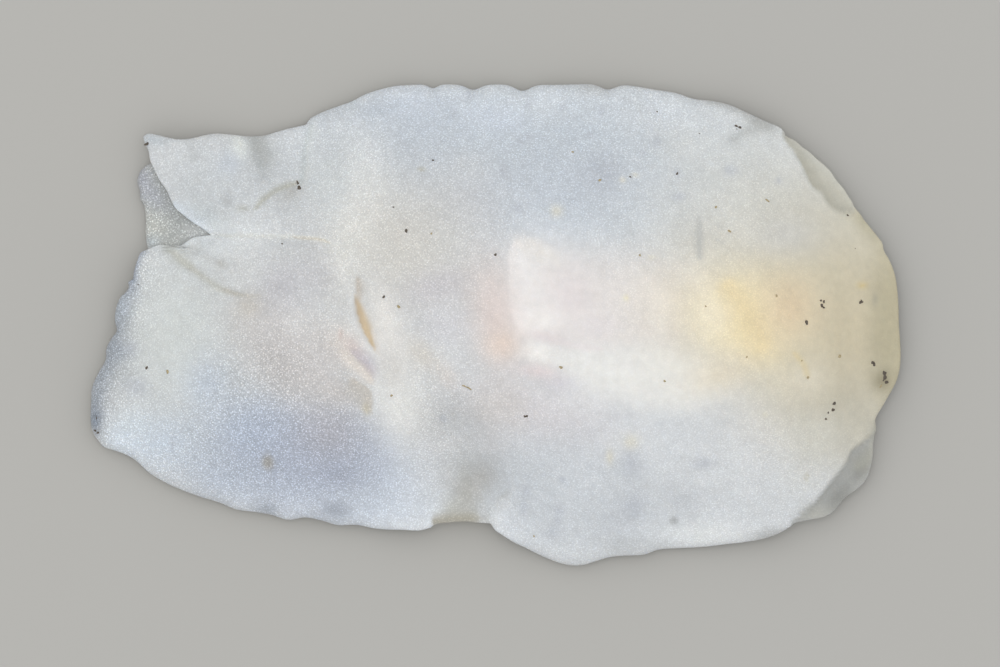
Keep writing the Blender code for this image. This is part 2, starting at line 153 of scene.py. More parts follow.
# Lines along which the flesh folds or changes colour
NECK_LINE = ((-7.6, 7.0), (-7.4, 4.5), (-6.2, 2.4), (-5.0, -0.4), (-4.65, -2.4), (-3.8, -5.8))
NECK_EDGE = ((-7.2, 8.4), (-7.55, 7.0), (-7.62, 6.0), (-7.8, 5.3))
VALLEY_LINE = ((-1.9, -4.6), (-1.2, -6.2), (-1.4, -7.9))
SEAM_LINE = ((-11.0, 3.52), (-9.4, 3.5), (-7.9, 3.5), (-6.83, 3.36), (-6.3, 3.14))
SEAM_LIGHT = ((-11.3, 3.58), (-9.1, 3.54), (-7.62, 3.48), (-6.83, 3.38), (-6.2, 3.14))
SEAM_TAN = ((-8.2, 3.5), (-7.5, 3.46), (-6.83, 3.38), (-6.4, 3.2))
LOBE_VALLEY = ((-9.95, 8.3), (-9.75, 7.6), (-9.5, 7.1), (-9.32, 6.5), (-9.28, 5.9), (-9.3, 5.3))
GROOVE_LINE = (
    (-13.6, 3.38), (-12.98, 2.98), (-12.42, 2.5), (-11.9, 2.13), (-11.0, 1.5), (-10.22, 1.22), (-9.5, 1.12),
)
GROOVE_WIDE = ((-13.5, 4.2), (-13.1, 3.4), (-12.8, 2.95), (-12.35, 2.5), (-11.8, 2.08))
GROOVE_DARK = ((-11.0, 1.5), (-10.22, 1.22), (-9.7, 1.15), (-9.1, 1.14))
SLIT_LINE = (
    (-4.62, -1.34), (-4.77, -1.02), (-4.87, -0.8), (-5.01, -0.56), (-5.17, -0.24), (-5.31, 0.08),
    (-5.41, 0.4), (-5.48, 0.67), (-5.52, 1.0), (-5.54, 1.4),
)
SLIT_HEAD = ((-5.38, 0.8), (-5.41, 1.2), (-5.43, 1.6), (-5.46, 2.05))
NECK_RIDGE = ((-6.2, -1.0), (-5.85, -1.27), (-5.31, -1.74), (-4.98, -2.08), (-4.7, -2.5))
RIDGE_SHADE = (
    (-5.95, -1.95), (-5.74, -2.07), (-5.27, -2.41), (-5.02, -2.58), (-4.91, -2.92),
    (-4.89, -3.35), (-5.0, -3.8),
)
LILAC_LINE = ((-5.8, -0.95), (-5.4, -1.4), (-5.1, -1.79), (-4.8, -2.26))
SLIT_RIM = ((-4.5, -1.35), (-4.66, -0.82), (-4.78, -0.4), (-4.86, -0.05))
OLIVE_CREASE = ((-7.6, 5.78), (-7.95, 5.64), (-8.61, 5.4), (-9.19, 4.98), (-9.5, 4.64), (-9.68, 4.4))
PLATE_EDGE = ((1.3, -0.45), (0.98, -0.08), (0.72, 0.88), (0.66, 1.88), (0.74, 3.1), (1.0, 3.6))
PLATE_GAP = ((1.3, -0.46), (2.2, -0.6), (3.4, -0.85), (4.6, -1.0))
SECOND_PLATE = ((1.1, -1.05), (3.0, -1.4), (5.6, -2.1), (8.6, -2.6))
FLAP_EDGE = (
    (0.0, -9.4), (-0.1, -8.6), (-0.15, -8.0), (-0.19, -7.68), (-0.08, -7.42), (0.1, -7.15),
    (0.32, -6.97), (0.65, -6.6), (0.9, -6.32),
)
FRONT_CREASE = ((8.1, 4.6), (8.16, 3.6), (8.14, 2.3))
FRONT_BRANCH = ((8.7, 3.44), (9.0, 3.3), (9.26, 3.22))
CORNER_CREASE = ((8.9, 7.0), (9.7, 7.55), (10.4, 7.95), (11.0, 8.2), (11.7, 8.5), (12.4, 8.9))
CORNER_RIM = ((8.0, 9.2), (9.4, 8.85), (10.2, 8.5), (10.9, 8.15), (11.5, 7.8))
CORNER_STEP = (
    (12.0, -7.95), (12.85, -7.22), (13.14, -6.86), (13.42, -6.5), (13.85, -5.96), (14.2, -5.5),
    (14.35, -5.11), (14.64, -4.89), (14.92, -4.68), (15.4, -4.3),
)
HEAD_STEP = (
    (11.5, 7.8), (11.78, 7.34), (12.12, 6.88), (12.37, 6.44), (12.58, 5.98), (12.78, 5.6),
    (13.14, 5.35), (13.39, 4.94), (13.72, 4.66), (14.1, 4.55), (14.5, 4.5),
)
YELLOW_STREAK = ((8.9, 2.1), (9.5, 1.2), (10.2, 0.1), (10.9, -1.4))
HEAD_STREAK = ((11.8, -1.0), (12.3, -1.6), (12.5, -2.2))
TAIL_MARGIN = ((-14.6, 2.2), (-15.1, 0.2), (-15.5, -1.4), (-16.0, -3.0), (-16.2, -4.4))
VALLEY_RIM = ((-2.6, -7.9), (-1.8, -7.78), (-1.1, -7.74), (-0.5, -7.8))


class Falloff(Enum):
    """How a soft shape fades from its middle, as the power of the distance in its formula."""

    SOFT = 2.0
    FIRM = 4.0


class Layer(Enum):
    """The layers of flesh that the skin runs over, from the back down to the sole."""

    BACK = 0
    UNDERSIDE = 1
    FOOT = 2
    SOLE = 3


def smoothstep(value: Array) -> Array:
    """Rises from 0 to 1 with level ends, 3t^2 - 2t^3, while the value goes from 0 to 1."""
    t = np.clip(value, 0.0, 1.0)
    return t * t * (3.0 - 2.0 * t)


def linear(colour: Colour) -> Array:
    """The colour in linear light, by sRGB's curve."""
    share = np.array(colour, float) / 255.0
    return np.where(share <= 0.04045, share / 12.92, ((share + 0.055) / 1.055) ** 2.4)


def lengths(path: Array) -> Array:
    """How much of a path's length comes before each of its points."""
    return np.concatenate([[0.0], np.cumsum(np.linalg.norm(np.diff(path, axis=0), axis=1))])


def placed(path: Array, along: Array) -> Array:
    """The places that lie those lengths along a path."""
    passed = lengths(path)
    return np.stack([np.interp(along, passed, path[:, axis]) for axis in (0, 1)], axis=1)


def smooth_path(places: Places, step: float) -> Array:
    """A smooth curve through the places.

    Between two places it is the cubic that has their places and slopes at its ends, where
    the slopes are those of the parabola through each place and its two neighbours.

    Args:
        places: The places that the curve passes through.
        step: The distance between the points of the result, about.

    Returns:
        The curve's points, first and last place included.
    """
    through = np.array(places, float)
    knots = lengths(through)
    chords = np.diff(knots)
    slopes = np.gradient(through, knots, axis=0)
    along = np.linspace(0.0, knots[-1], max(2, round(knots[-1] / step) + 1))
    index = np.clip(np.searchsorted(knots, along, side="right") - 1, 0, len(chords) - 1)
    span = chords[index][:, None]
    t = (along - knots[index])[:, None] / span
    rise = t * t * (3.0 - 2.0 * t)
    leave = t * (1.0 - t) ** 2 * span
    arrive = -t * t * (1.0 - t) * span
    start, end = through[index], through[index + 1]
    return start + (end - start) * rise + slopes[index] * leave + slopes[index + 1] * arrive


def joined(stretches: tuple[Places, ...], step: float) -> Array:
    """The ring of several stretches, each smooth, that meet at corners."""
    return np.vstack([smooth_path(places, step)[:-1] for places in stretches])


def closed(ring: Array) -> Array:
    """The ring with its first point once more at its end."""
    return np.vstack([ring, ring[:1]])


def turned(x: Array, y: Array, angle: float) -> tuple[Array, Array]:
    """The coordinates turned anticlockwise by an angle in degrees."""
    cos, sin = np.cos(np.radians(angle)), np.sin(np.radians(angle))
    return x * cos - y * sin, x * sin + y * cos


def near_path(points: Array, path: Array) -> tuple[Array, Array]:
    """How far points lie from an open path, and where along it.

    Each segment in turn gives every point its nearest place on it, and a point keeps the
    nearest of all.

    Args:
        points: The places asked about.
        path: The path's points in order.

    Returns:
        The distance, positive to the left of the path's direction, and the share of the
        path's length that comes before the nearest place.
    """
    runs = np.diff(path, axis=0)
    passed = lengths(path)
    nearest = np.full(len(points), np.inf)
    side, share = np.ones(len(points)), np.zeros(len(points))
    for start, run, length, before in zip(path[:-1], runs, np.diff(passed), passed):
        offset = points - start
        t = np.clip(offset @ run / max(length**2, TINY), 0.0, 1.0)
        distance = np.linalg.norm(offset - t[:, None] * run, axis=1)
        closer = distance < nearest
        turn = run[0] * offset[:, 1] - run[1] * offset[:, 0]
        nearest = np.where(closer, distance, nearest)
        side = np.where(closer, np.where(turn < 0.0, -1.0, 1.0), side)
        share = np.where(closer, (before + t * length) / passed[-1], share)
    return nearest * side, share


def ring_depth(points: Array, ring: Array) -> Array:
    """Distance from each point to a closed ring, positive inside it.

    A point is inside where a line from it towards +X crosses the ring an odd number of times.
    """
    path = closed(ring)
    odd = np.zeros(len(points), bool)
    for start, end in zip(path[:-1], path[1:]):
        spans = (start[1] > points[:, 1]) != (end[1] > points[:, 1])
        height = end[1] - start[1] if end[1] != start[1] else 1.0
        crossed = start[0] + (points[:, 1] - start[1]) * (end[0] - start[0]) / height
        odd ^= spans & (points[:, 0] < crossed)
    distance, _ = near_path(points, path)
    return np.where(odd, 1.0, -1.0) * np.abs(distance)


def crossing(ring: Array, starts: Array, ways: Array) -> Array:
    """How far along each ray it last crosses a closed ring.

    For each segment of the ring in turn, start + t way is set equal to the segment's
    corner + s run. Where s lies from 0 to 1 the ray crosses it at the distance t.

    Args:
        ring: The ring's points.
        starts: Where the rays start.
        ways: Their directions, each of length 1.

    Returns:
        The largest such distance of each ray.
    """
    path = closed(ring)
    furthest = np.zeros(len(starts))
    for corner, run in zip(path[:-1], np.diff(path, axis=0)):
        offset = corner - starts
        spread = ways[:, 0] * run[1] - ways[:, 1] * run[0]
        spread = np.where(np.abs(spread) < TINY, TINY, spread)
        t = (offset[:, 0] * run[1] - offset[:, 1] * run[0]) / spread
        s = (offset[:, 0] * ways[:, 1] - offset[:, 1] * ways[:, 0]) / spread
        furthest = np.where((s >= 0.0) & (s <= 1.0), np.maximum(t, furthest), furthest)
    return furthest


def pull(points: Array, path: Array) -> Array:
    """How near a path is on the whole: the sum of ds / r^4 over its short pieces ds.

    A least square is added to r^2, so that the sum stays finite on the path itself.
    """
    middles = (path[1:] + path[:-1]) / 2.0
    pieces = np.diff(lengths(path))
    x, y = points[:, 0], points[:, 1]
    total = np.full(len(points), TINY)
    for (at_x, at_y), length in zip(middles, pieces):
        total += length / ((x - at_x) ** 2 + (y - at_y) ** 2 + LEAST_SQUARE) ** 2
    return total


def lofted(top: Array, places: Array, bottom: Array, starts: Numbers) -> tuple[Array, list[list[int]]]:
    """A closed surface through rings, which closes along a line of points at each end.

    Args:
        top: The line's points at the top, or a single one for a pole.
        places: Points in space, with a row for each ring and a column for each ray. Seen
            from outside the rays go anticlockwise and the rings from the top down.
        bottom: As many points at the bottom.
        starts: For each ray, the number of the line's point that it starts from.

    Returns:
        The points and the faces. Those at the lines are three-sided where two rays start
        at one point, and all the others have four sides.
    """
    count, rays = places.shape[:2]
    points = np.vstack([top, places.reshape(-1, 3), bottom])
    number = len(top) + np.arange(count * rays).reshape(count, rays)
    after, beside = np.roll(number, -1, axis=1), np.roll(starts, -1)
    below = len(points) - len(bottom)
    caps = np.vstack([
        np.stack([starts, number[0], after[0], beside], axis=1),
        np.stack([beside + below, after[-1], number[-1], starts + below], axis=1),
    ])
    pointed = np.tile(starts == beside, 2)
    quads = np.stack([number[:-1], number[1:], after[1:], after[:-1]], axis=2).reshape(-1, 4)
    return points, caps[pointed, :3].tolist() + caps[~pointed].tolist() + quads.tolist()


class Shape(Protocol):
    """A soft shape on the body, seen from above."""

    def mask(self, points: Array) -> Array:
        """How much of the shape there is at each point, from 0 to 1."""


@dataclass(frozen=True)
class Patch:
    """A soft ellipse. Its mask is e^(-q^p), q being the distance in the ellipse's own radii."""

    place: Place
    reach: Place
    turn: float = 0.0
    falloff: Falloff = Falloff.SOFT

    def mask(self, points: Array) -> Array:
        """How much of the ellipse there is at each point, from 0 to 1."""
        away = points - np.array(self.place)
        along, across = turned(away[:, 0], away[:, 1], -self.turn)
        own_radii = np.hypot(along / self.reach[0], across / self.reach[1])
        return np.exp(-(own_radii**self.falloff.value))


@dataclass(frozen=True)
class Line:
    """A soft line, which may fade more slowly to one side. Its mask is e^(-(distance/width)^p)."""

    places: Places
    left: float
    right: float
    fade: float = 0.0
    falloff: Falloff = Falloff.SOFT

    def mask(self, points: Array) -> Array:
        """How much of the line there is at each point, from 0 to 1.

        Over the share of its length that fades at each end it gets thinner, by the root of
        a smooth step, and in the last part of that it gets weaker too.
        """
        distance, share = near_path(points, smooth_path(self.places, LINE_STEP))
        width = np.where(distance > 0.0, self.left, self.right)
        ends = np.ones(len(points))
        if self.fade:
            ends = smoothstep(share / self.fade) * smoothstep((1.0 - share) / self.fade)
        width = width * np.sqrt(np.maximum(ends, LEAST_END))
        across = np.exp(-((np.abs(distance) / width) ** self.falloff.value))
        return across * smoothstep(END_GAIN * ends)


@dataclass(frozen=True)
class Fold:
    """A shape raised from the back, or pressed into it where the rise is negative."""

    shape: Shape
    rise: float


def raised(height: Array, folds: tuple[Fold, ...], points: Array) -> Array:
    """The height at each point with the folds added."""
    for fold in folds:
        height = height + fold.rise * fold.shape.mask(points)
    return height


@dataclass(frozen=True)
class Tint:
    """A colour in a shape: mostly one that shows through the skin, and in places painted light and shade."""

    shape: Shape
    colour: Colour
    strength: float = 1.0


def spot(
    place: Place,
    reach: Place,
    colour: Colour,
    strength: float = 1.0,
    turn: float = 0.0,
    falloff: Falloff = Falloff.SOFT,
) -> Tint:
    """A tint in a soft ellipse."""
    return Tint(Patch(place, reach, turn, falloff), colour, strength)


@dataclass(frozen=True)
class Grain:
    """How dense and white the granules in the skin are in a shape, 1 being the usual."""

    shape: Shape
    amount: float
    strength: float = 1.0


@dataclass(frozen=True)
class Nick:
    """A small nick in the left margin: its place, how deep it cuts in and half its width."""

    place: Place
    depth: float
    width: float


NICKS = (
    Nick((-2.46, 9.62), 0.15, 0.24), Nick((-0.85, 9.62), 0.22, 0.4),
    Nick((1.12, 9.62), 0.25, 0.4), Nick((4.54, 9.6), 0.22, 0.4),
)
FIRM = Falloff.FIRM
MAIN_FOLDS = (
    Fold(Line(NECK_LINE, 1.3, 1.3), -0.7),
    Fold(Line(VALLEY_LINE, 1.3, 1.3), -1.1),
    Fold(Line(SEAM_LINE, 0.6, 0.6), -0.25),
    Fold(Line(GROOVE_LINE, 0.5, 0.5), -0.2),
    Fold(Patch((3.5, 0.0), (6.5, 3.8)), 1.0),
)
FINE_FOLDS = (
    Fold(Line(SEAM_LINE, 0.1, 0.14, 0.15), -0.05),
    Fold(Line(GROOVE_LINE, 0.18, 0.16, 0.35), -0.1),
    Fold(Line(SLIT_LINE, 0.1, 0.34, 0.5), -0.17),
    Fold(Line(NECK_RIDGE, 0.2, 0.24, 0.4), 0.1),
    Fold(Line(RIDGE_SHADE, 0.1, 0.5, 0.4), -0.06),
    Fold(Line(OLIVE_CREASE, 0.2, 0.2, 0.35), -0.08),
    Fold(Line(FRONT_CREASE, 0.14, 0.22, 0.4), -0.03),
    Fold(Line(CORNER_CREASE, 0.4, 0.5, 0.5), -0.06),
    Fold(Line(FLAP_EDGE, 0.7, 0.16, 0.45), -0.17),
    Fold(Line(CORNER_STEP, 0.14, 1.6, 0.0, FIRM), -0.24),
    Fold(Line(HEAD_STEP, 1.4, 0.14, 0.1, FIRM), -0.16),
    Fold(Line((FOLD_TIP, *GROOVE_MOUTH[1:], (-13.8, 3.1)), 0.3, 0.3), -0.2),
    Fold(Line(LOBE_VALLEY, 0.6, 0.4, 0.45), -0.05),
    Fold(Line(LOBE_VALLEY[:5], 0.6, 0.4, 0.45), -0.05),
    Fold(Patch((-10.15, 7.0), (0.45, 0.7), 15.0), 0.14),
    Fold(Patch((-11.18, 3.62), (0.24, 0.18)), 0.1),
    Fold(Patch((11.2, 7.75), (0.7, 0.45), -35.0), -0.1),
)

MILKY = (209, 212, 214)
BROAD_TINTS = (
    spot((2.0, 6.6), (9.5, 3.4), (206, 214, 222), 1.0, 0.0, FIRM),
    spot((3.6, 5.4), (3.6, 1.7), (199, 206, 215), 0.7), spot((-3.6, 6.9), (1.8, 1.5), (198, 206, 216), 0.7),
    spot((-3.4, 8.7), (2.4, 1.0), (205, 214, 226), 0.6, -5.0),
    spot((-5.1, 5.4), (1.15, 2.3), (234, 237, 237), 0.85, 6.0),
    spot((-5.4, 3.7), (1.0, 1.2), (241, 242, 239), 0.8),
    spot((6.4, 8.1), (1.5, 0.7), (222, 227, 232), 0.5, -8.0),
    spot((-6.6, 8.4), (1.3, 0.35), (186, 192, 198), 0.6, 22.0),
    spot((-4.7, 8.6), (0.9, 0.4), (184, 192, 201), 0.6, 12.0),
    spot((2.0, 8.7), (0.9, 0.5), (222, 228, 233), 0.5), spot((3.95, 9.5), (0.6, 0.25), (182, 184, 184), 0.6),
    spot((-1.2, 4.9), (1.8, 1.5), (198, 201, 207), 0.7), spot((-1.0, 6.3), (0.8, 0.6), (216, 220, 224), 0.6),
    spot((0.2, 8.2), (1.2, 0.6), (217, 225, 237), 0.6), spot((7.5, 7.2), (0.9, 0.7), (218, 222, 224), 0.7),
    spot((3.6, -6.3), (8.5, 3.0), (210, 215, 220), 1.0, 0.0, FIRM),
    spot((9.2, -5.8), (3.8, 2.2), (223, 226, 228), 0.8), spot((7.6, -7.0), (0.8, 0.6), (198, 202, 207), 0.6),
    spot((5.3, -4.6), (1.1, 0.6), (224, 227, 228), 0.7), spot((5.1, -7.7), (0.8, 0.6), (188, 192, 198), 0.5),
    spot((12.2, -6.2), (0.9, 0.7), (224, 226, 225), 0.6),
    spot((11.1, -3.7), (1.7, 1.4), (227, 227, 226), 0.8),
    spot((10.6, 4.9), (4.2, 3.2), (219, 220, 215), 0.9), spot((8.2, 3.4), (1.5, 1.2), (205, 205, 200), 0.6),
    spot((-3.6, 3.2), (3.0, 2.8), (210, 208, 202), 0.9),
    # Painted light that lifts the shade of the neck fold where it runs down towards the valley
    spot((-3.7, -4.0), (1.3, 2.6), (236, 236, 232), 0.9, 10.0),
    spot((-3.9, -6.2), (1.6, 1.4), (225, 231, 236), 0.8),
    # Painted light that lifts the shade of the rounded margin on the right side
    spot((8.5, -8.4), (1.6, 0.6), (229, 232, 232), 0.7),
    spot((5.4, -8.75), (1.3, 0.35), (182, 185, 187), 0.5),
    spot((-2.4, -5.8), (0.8, 1.3), (221, 224, 227), 0.8, 10.0),
    spot((-2.7, -4.1), (0.5, 0.6), (229, 230, 230), 0.5),
    spot((-0.2, -4.7), (0.8, 0.6), (217, 218, 221), 0.7),
    spot((-2.2, 1.5), (1.4, 0.7), (197, 194, 199), 0.7, 15.0),
    spot((-1.9, 0.0), (1.1, 0.9), (211, 211, 215), 0.8),
    spot((1.8, -3.4), (3.0, 1.2), (218, 215, 218), 0.8, -12.0),
    spot((3.5, -3.0), (1.1, 0.7), (224, 224, 225), 0.7), spot((0.2, -3.2), (1.3, 1.0), (210, 206, 203), 0.7),
    # Painted light that lifts the shade on the upper slope of the valley fold
    spot((-2.0, -4.7), (1.1, 0.7), (223, 224, 225), 0.75),
    spot((-2.9, -1.15), (0.9, 0.5), (216, 210, 200), 0.6, -40.0),
    spot((-1.9, -2.0), (0.6, 0.4), (219, 209, 200), 0.4, -50.0),
    spot((-4.3, 0.1), (0.6, 1.5), (236, 234, 230), 0.9, 12.0),
    spot((-4.0, -1.7), (0.7, 0.9), (216, 214, 210), 0.7),
    spot((-6.1, 2.4), (0.65, 1.5), (231, 231, 226), 0.85, -8.0),
    spot((-6.1, -0.8), (1.0, 0.8), (235, 229, 222), 0.8, -30.0),
    spot((13.6, 0.2), (4.4, 5.2), (203, 198, 179), 0.95, 0.0, FIRM),
    spot((14.4, -0.2), (2.2, 3.4), (201, 191, 165), 0.85),
    spot((16.2, -0.2), (1.3, 4.6), (177, 170, 144), 0.9, 0.0, FIRM),
    spot((14.6, -4.0), (1.6, 1.8), (190, 186, 171), 0.7, 25.0),
    spot((12.9, -4.5), (1.1, 0.9), (214, 213, 203), 0.7, 20.0),
    spot((12.2, -2.2), (1.1, 0.8), (226, 220, 203), 0.8, 15.0),
    spot((14.8, 4.1), (0.45, 1.3), (178, 172, 148), 0.8, 38.0),
    spot((-7.8, -5.4), (4.4, 2.4), (199, 207, 221), 0.9, -12.0, FIRM),
    spot((-7.3, -5.2), (2.7, 1.6), (187, 195, 212), 0.85, -14.0),
    spot((-10.0, -4.2), (1.5, 1.2), (188, 200, 219), 0.6),
    spot((-6.6, -4.2), (1.4, 1.2), (189, 188, 195), 0.7),
    spot((-6.2, -6.0), (0.8, 0.6), (172, 178, 193), 0.5),
    spot((-6.3, -2.6), (0.8, 0.5), (203, 197, 192), 0.6, -25.0),
    spot((-8.2, -1.0), (2.8, 1.7), (205, 202, 201), 0.9, -45.0, FIRM),
    spot((-10.2, -0.2), (0.9, 1.2), (201, 198, 197), 0.6),
    spot((-12.8, -0.6), (2.4, 3.2), (214, 219, 217), 0.8),
    spot((-11.4, -2.4), (1.0, 1.2), (196, 206, 219), 0.7),
    spot((-13.4, -4.7), (1.8, 1.1), (213, 224, 236), 0.8),
    spot((-11.0, -6.2), (1.8, 0.9), (192, 203, 219), 0.5, -15.0),
    spot((-5.0, -7.3), (2.4, 0.8), (204, 212, 222), 0.7),
    Tint(Line(TAIL_MARGIN, 0.55, 1.2, 0.15), (154, 162, 173), 0.75),
    spot((-15.0, -1.05), (0.45, 0.5), (160, 168, 178), 0.6),
    spot((-14.7, -2.1), (0.5, 0.45), (182, 188, 192), 0.4),
    spot((-14.5, 1.6), (0.3, 0.4), (164, 172, 184), 0.6),
    spot((-14.9, 0.7), (0.3, 0.5), (192, 201, 211), 0.6),
    spot((-15.95, -3.85), (0.3, 0.5), (132, 142, 156), 0.8),
    spot((-14.4, -3.95), (0.7, 0.5), (218, 228, 235), 0.6),
    Tint(Line(LOBE_HIND_EDGE[2:], 0.17, 0.17, 0.1), (146, 156, 172), 0.75),
    spot((-13.7, 7.42), (0.7, 0.28), (164, 172, 178), 0.75),
    spot((-9.1, -7.35), (0.5, 0.3), (164, 171, 181), 0.7),
    spot((-15.0, -4.6), (0.5, 0.6), (222, 233, 243), 0.6, 40.0),
    spot((-7.7, 0.1), (0.7, 0.6), (222, 222, 221), 0.6), spot((-9.8, 2.4), (1.5, 0.9), (217, 219, 219), 0.7),
    spot((-8.4, 1.6), (0.9, 0.9), (192, 191, 196), 0.7), spot((-9.8, 0.7), (0.5, 0.5), (198, 193, 183), 0.6),
    spot((-7.1, 1.9), (1.1, 1.0), (200, 200, 203), 0.7),
    spot((-11.2, 5.6), (2.2, 1.4), (203, 208, 211), 0.7, -25.0),
    spot((-6.7, 5.8), (1.0, 1.2), (220, 225, 226), 0.7),
    # Painted light that lifts the shade of the pit at the tail's notch and along the edges that meet there;
    # along the lobe's edge it keeps the flesh's bluish tone too
    spot((-10.4, 3.6), (1.1, 0.6), (236, 240, 242), 0.9),
    Tint(Line(LEFT_LOBE_EDGE[7:], 0.45, 0.45, 0.3), (226, 235, 244), 0.7),
    spot((-11.1, 4.0), (0.45, 0.35), (238, 243, 245), 0.7),
    spot((-10.9, 2.95), (0.8, 0.3), (236, 239, 240), 0.7, -10.0),
    spot((-11.6, 4.5), (0.5, 0.3), (216, 223, 226), 0.6, -30.0),
    spot((-11.17, 3.64), (0.14, 0.12), (255, 255, 255), 0.8),
    Tint(Line(FOLD_EDGE, 0.3, 0.3, 0.0), (228, 232, 233), 0.7),
)
GIZZARD_TINTS = (
    spot((4.2, 0.6), (4.4, 2.3), (223, 219, 217), 0.95, -4.0, FIRM),
    spot((4.1, 0.0), (0.8, 0.6), (219, 214, 216), 0.6), spot((6.8, 1.2), (1.5, 1.2), (227, 222, 216), 0.7),
    spot((6.4, -2.1), (2.8, 1.3), (231, 231, 228), 0.95, -7.0, FIRM),
    spot((4.4, -1.75), (1.8, 0.9), (227, 227, 225), 0.85, -12.0, FIRM),
    Tint(Line(SECOND_PLATE, 0.4, 0.6, 0.1), (230, 230, 227), 0.8),
    spot((1.9, 1.7), (1.2, 1.5), (230, 225, 223), 0.7), spot((3.0, 1.1), (0.9, 1.0), (221, 213, 214), 0.6),
    Tint(Line(PLATE_EDGE, 0.12, 1.1, 0.2), (233, 231, 230)),
    spot((1.7, 2.95), (1.0, 0.42), (231, 228, 224), 0.8, -28.0, FIRM),
    spot((1.7, 0.15), (1.1, 0.45), (238, 235, 232), 0.8, 6.0),
    spot((1.9, -0.42), (0.75, 0.22), (222, 212, 212), 0.6, -6.0),
    spot((1.6, -1.05), (0.75, 0.4), (237, 235, 232), 0.9, -6.0),
    Tint(Line(PLATE_GAP, 0.14, 0.14, 0.3), (222, 214, 215), 0.5),
    spot((0.0, 0.5), (0.95, 2.0), (218, 205, 200), 0.85, 8.0),
    spot((0.28, -0.8), (0.7, 0.65), (229, 212, 200), 0.8),
    spot((1.75, -1.85), (0.8, 0.3), (224, 211, 211), 0.7, -8.0),
    spot((2.6, -2.3), (0.6, 0.35), (212, 208, 214), 0.5),
)
YELLOW_TINTS = (
    spot((9.8, 0.5), (3.0, 2.3), (230, 219, 189), 0.95), spot((9.9, 0.2), (1.5, 1.4), (237, 224, 186), 0.9),
    Tint(Line(YELLOW_STREAK, 0.6, 0.8, 0.35), (233, 216, 174), 0.8),
    spot((8.6, 0.4), (0.8, 0.9), (236, 228, 205), 0.7),
    spot((9.0, -1.9), (1.3, 0.7), (224, 215, 195), 0.8, 20.0),
    spot((10.6, -1.0), (0.8, 0.6), (235, 219, 179), 0.5),
    spot((11.7, 0.7), (1.1, 1.2), (222, 203, 172), 0.85),
    spot((11.5, 3.6), (1.6, 0.9), (211, 211, 208), 0.7),
    Tint(Line(HEAD_STREAK, 0.12, 0.12, 0.2), (222, 206, 164), 0.6),
)
